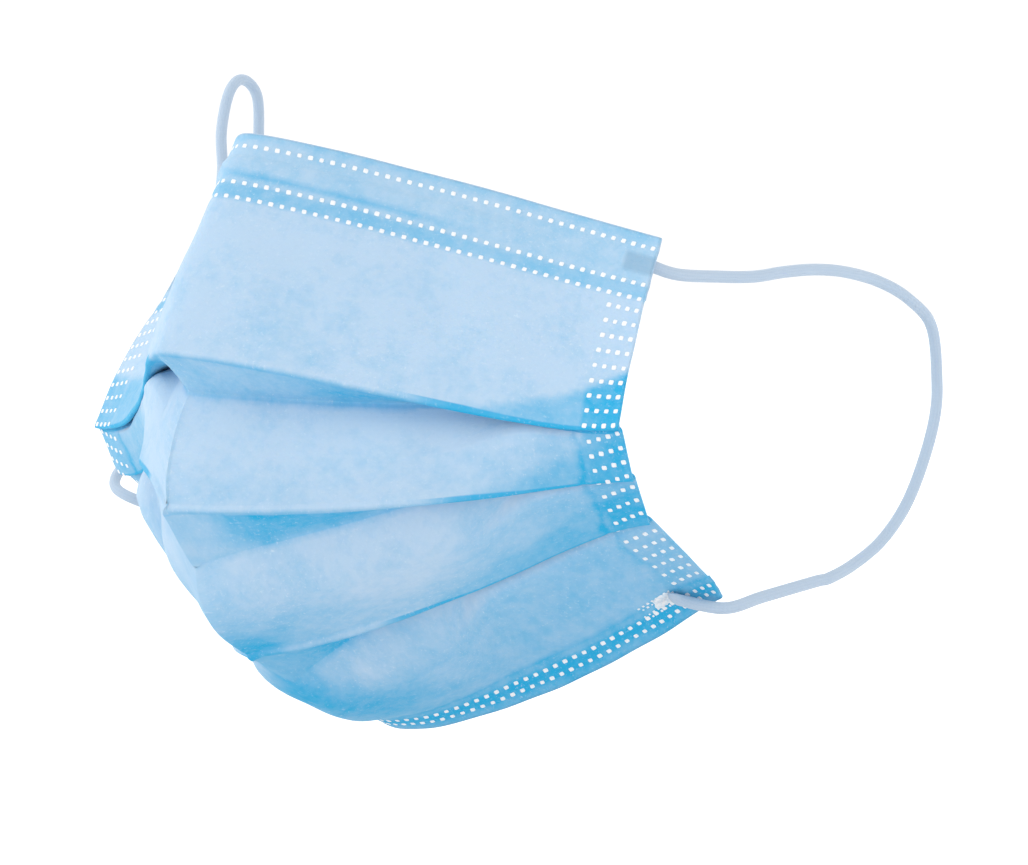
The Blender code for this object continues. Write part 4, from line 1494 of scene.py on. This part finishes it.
def main():
    scene = bpy.context.scene
    scene.view_settings.view_transform = "Standard"
    add_camera()
    blue, band_blue = nonwoven("blue_nonwoven", *BLUES), nonwoven("band_nonwoven", *BAND_BLUES)
    inner = white_ply()
    film, elastic, melted = bonded_film(), knitted_elastic(), melted_elastic()
    cloth = Cloth()

    for side_name, side, stops in (("left", 1, NEAR_LOOP), ("right", -1, FAR_LOOP)):
        loop, route, length = add_ear_loop(cloth, side_name, side, stops, elastic)

    middle_run = cloth.down.mean(axis=1)
    # layers holds the stacked plies' blue and the painted shade; below_fold places the painted shadow under
    # each fold edge
    mesh = grid_mesh("mask_cloth", cloth.points, cloth.cut_places(middle_run / FLAT_WIDTH),
                     {"layers": cloth.colour_depth(), "press": cloth.press,
                      "below_fold": cloth.below_folds(), "elastic_behind": cloth.elastic_behind()})
    sharpen(mesh, cloth.creased, len(ACROSS))
    body = new_object("mask_cloth", mesh, blue, inner)
    give_thickness(body, PLIES, inner_slot=1)
    declare(body, "mask_body")

    top_strip = add_band(cloth, "top_band_strip", "top_band", ("top", "band"), 1, 1.0, 0.05, band_blue)
    bottom_strip = add_band(cloth, "bottom_band_strip", "bottom_band", ("hem", "bottom"), -1, 0.0, 0.75,
                            band_blue)
    add_nose_wire(cloth, wire_coating())
    for weld in WELDS:
        for side_name, side in (("left", 1), ("right", -1)):
            add_weld(cloth, weld, side_name, side, melted)

    shape = dot_shape()
    tree, inputs = dots_tree()
    rows_of_dots = [place for share in TOP_ROWS for place in cloth.row_dots(("top", "band"), share)]
    rows_of_dots += [place for share in BOTTOM_ROWS for place in cloth.row_dots(("hem", "bottom"), share)]
    outside = PLIES / 2 + DOT_LIFT
    behind = outside + BAND_PLY + INSIDE_DOT_LIFT
    patches = cloth.patch_dots(("hem", "bottom"), WELD_DOTS_ACROSS, WELD_DOTS_SHARE)
    for field, places, inside, lift, width, spread, seed in (
            ("rows", rows_of_dots, False, outside, DOT_WIDTH, DOT_SPREAD, 3),
            ("sides", cloth.side_dots(), False, outside, DOT_WIDTH, DOT_SPREAD, 4),
            ("bands_inside", rows_of_dots, True, behind, DOT_WIDTH, DOT_SPREAD, 5),
            ("welds", patches, False, outside + WELD_DOT_LIFT, WELD_DOT_WIDTH, WELD_DOT_SPREAD, 6)):
        add_dots(cloth, "bonded_dots_" + field, places, inside, lift, width, spread, seed, film, shape, tree,
                 inputs)
    bpy.data.objects.remove(shape, do_unlink=True)

    add_floor()
    add_light(scene)


main()
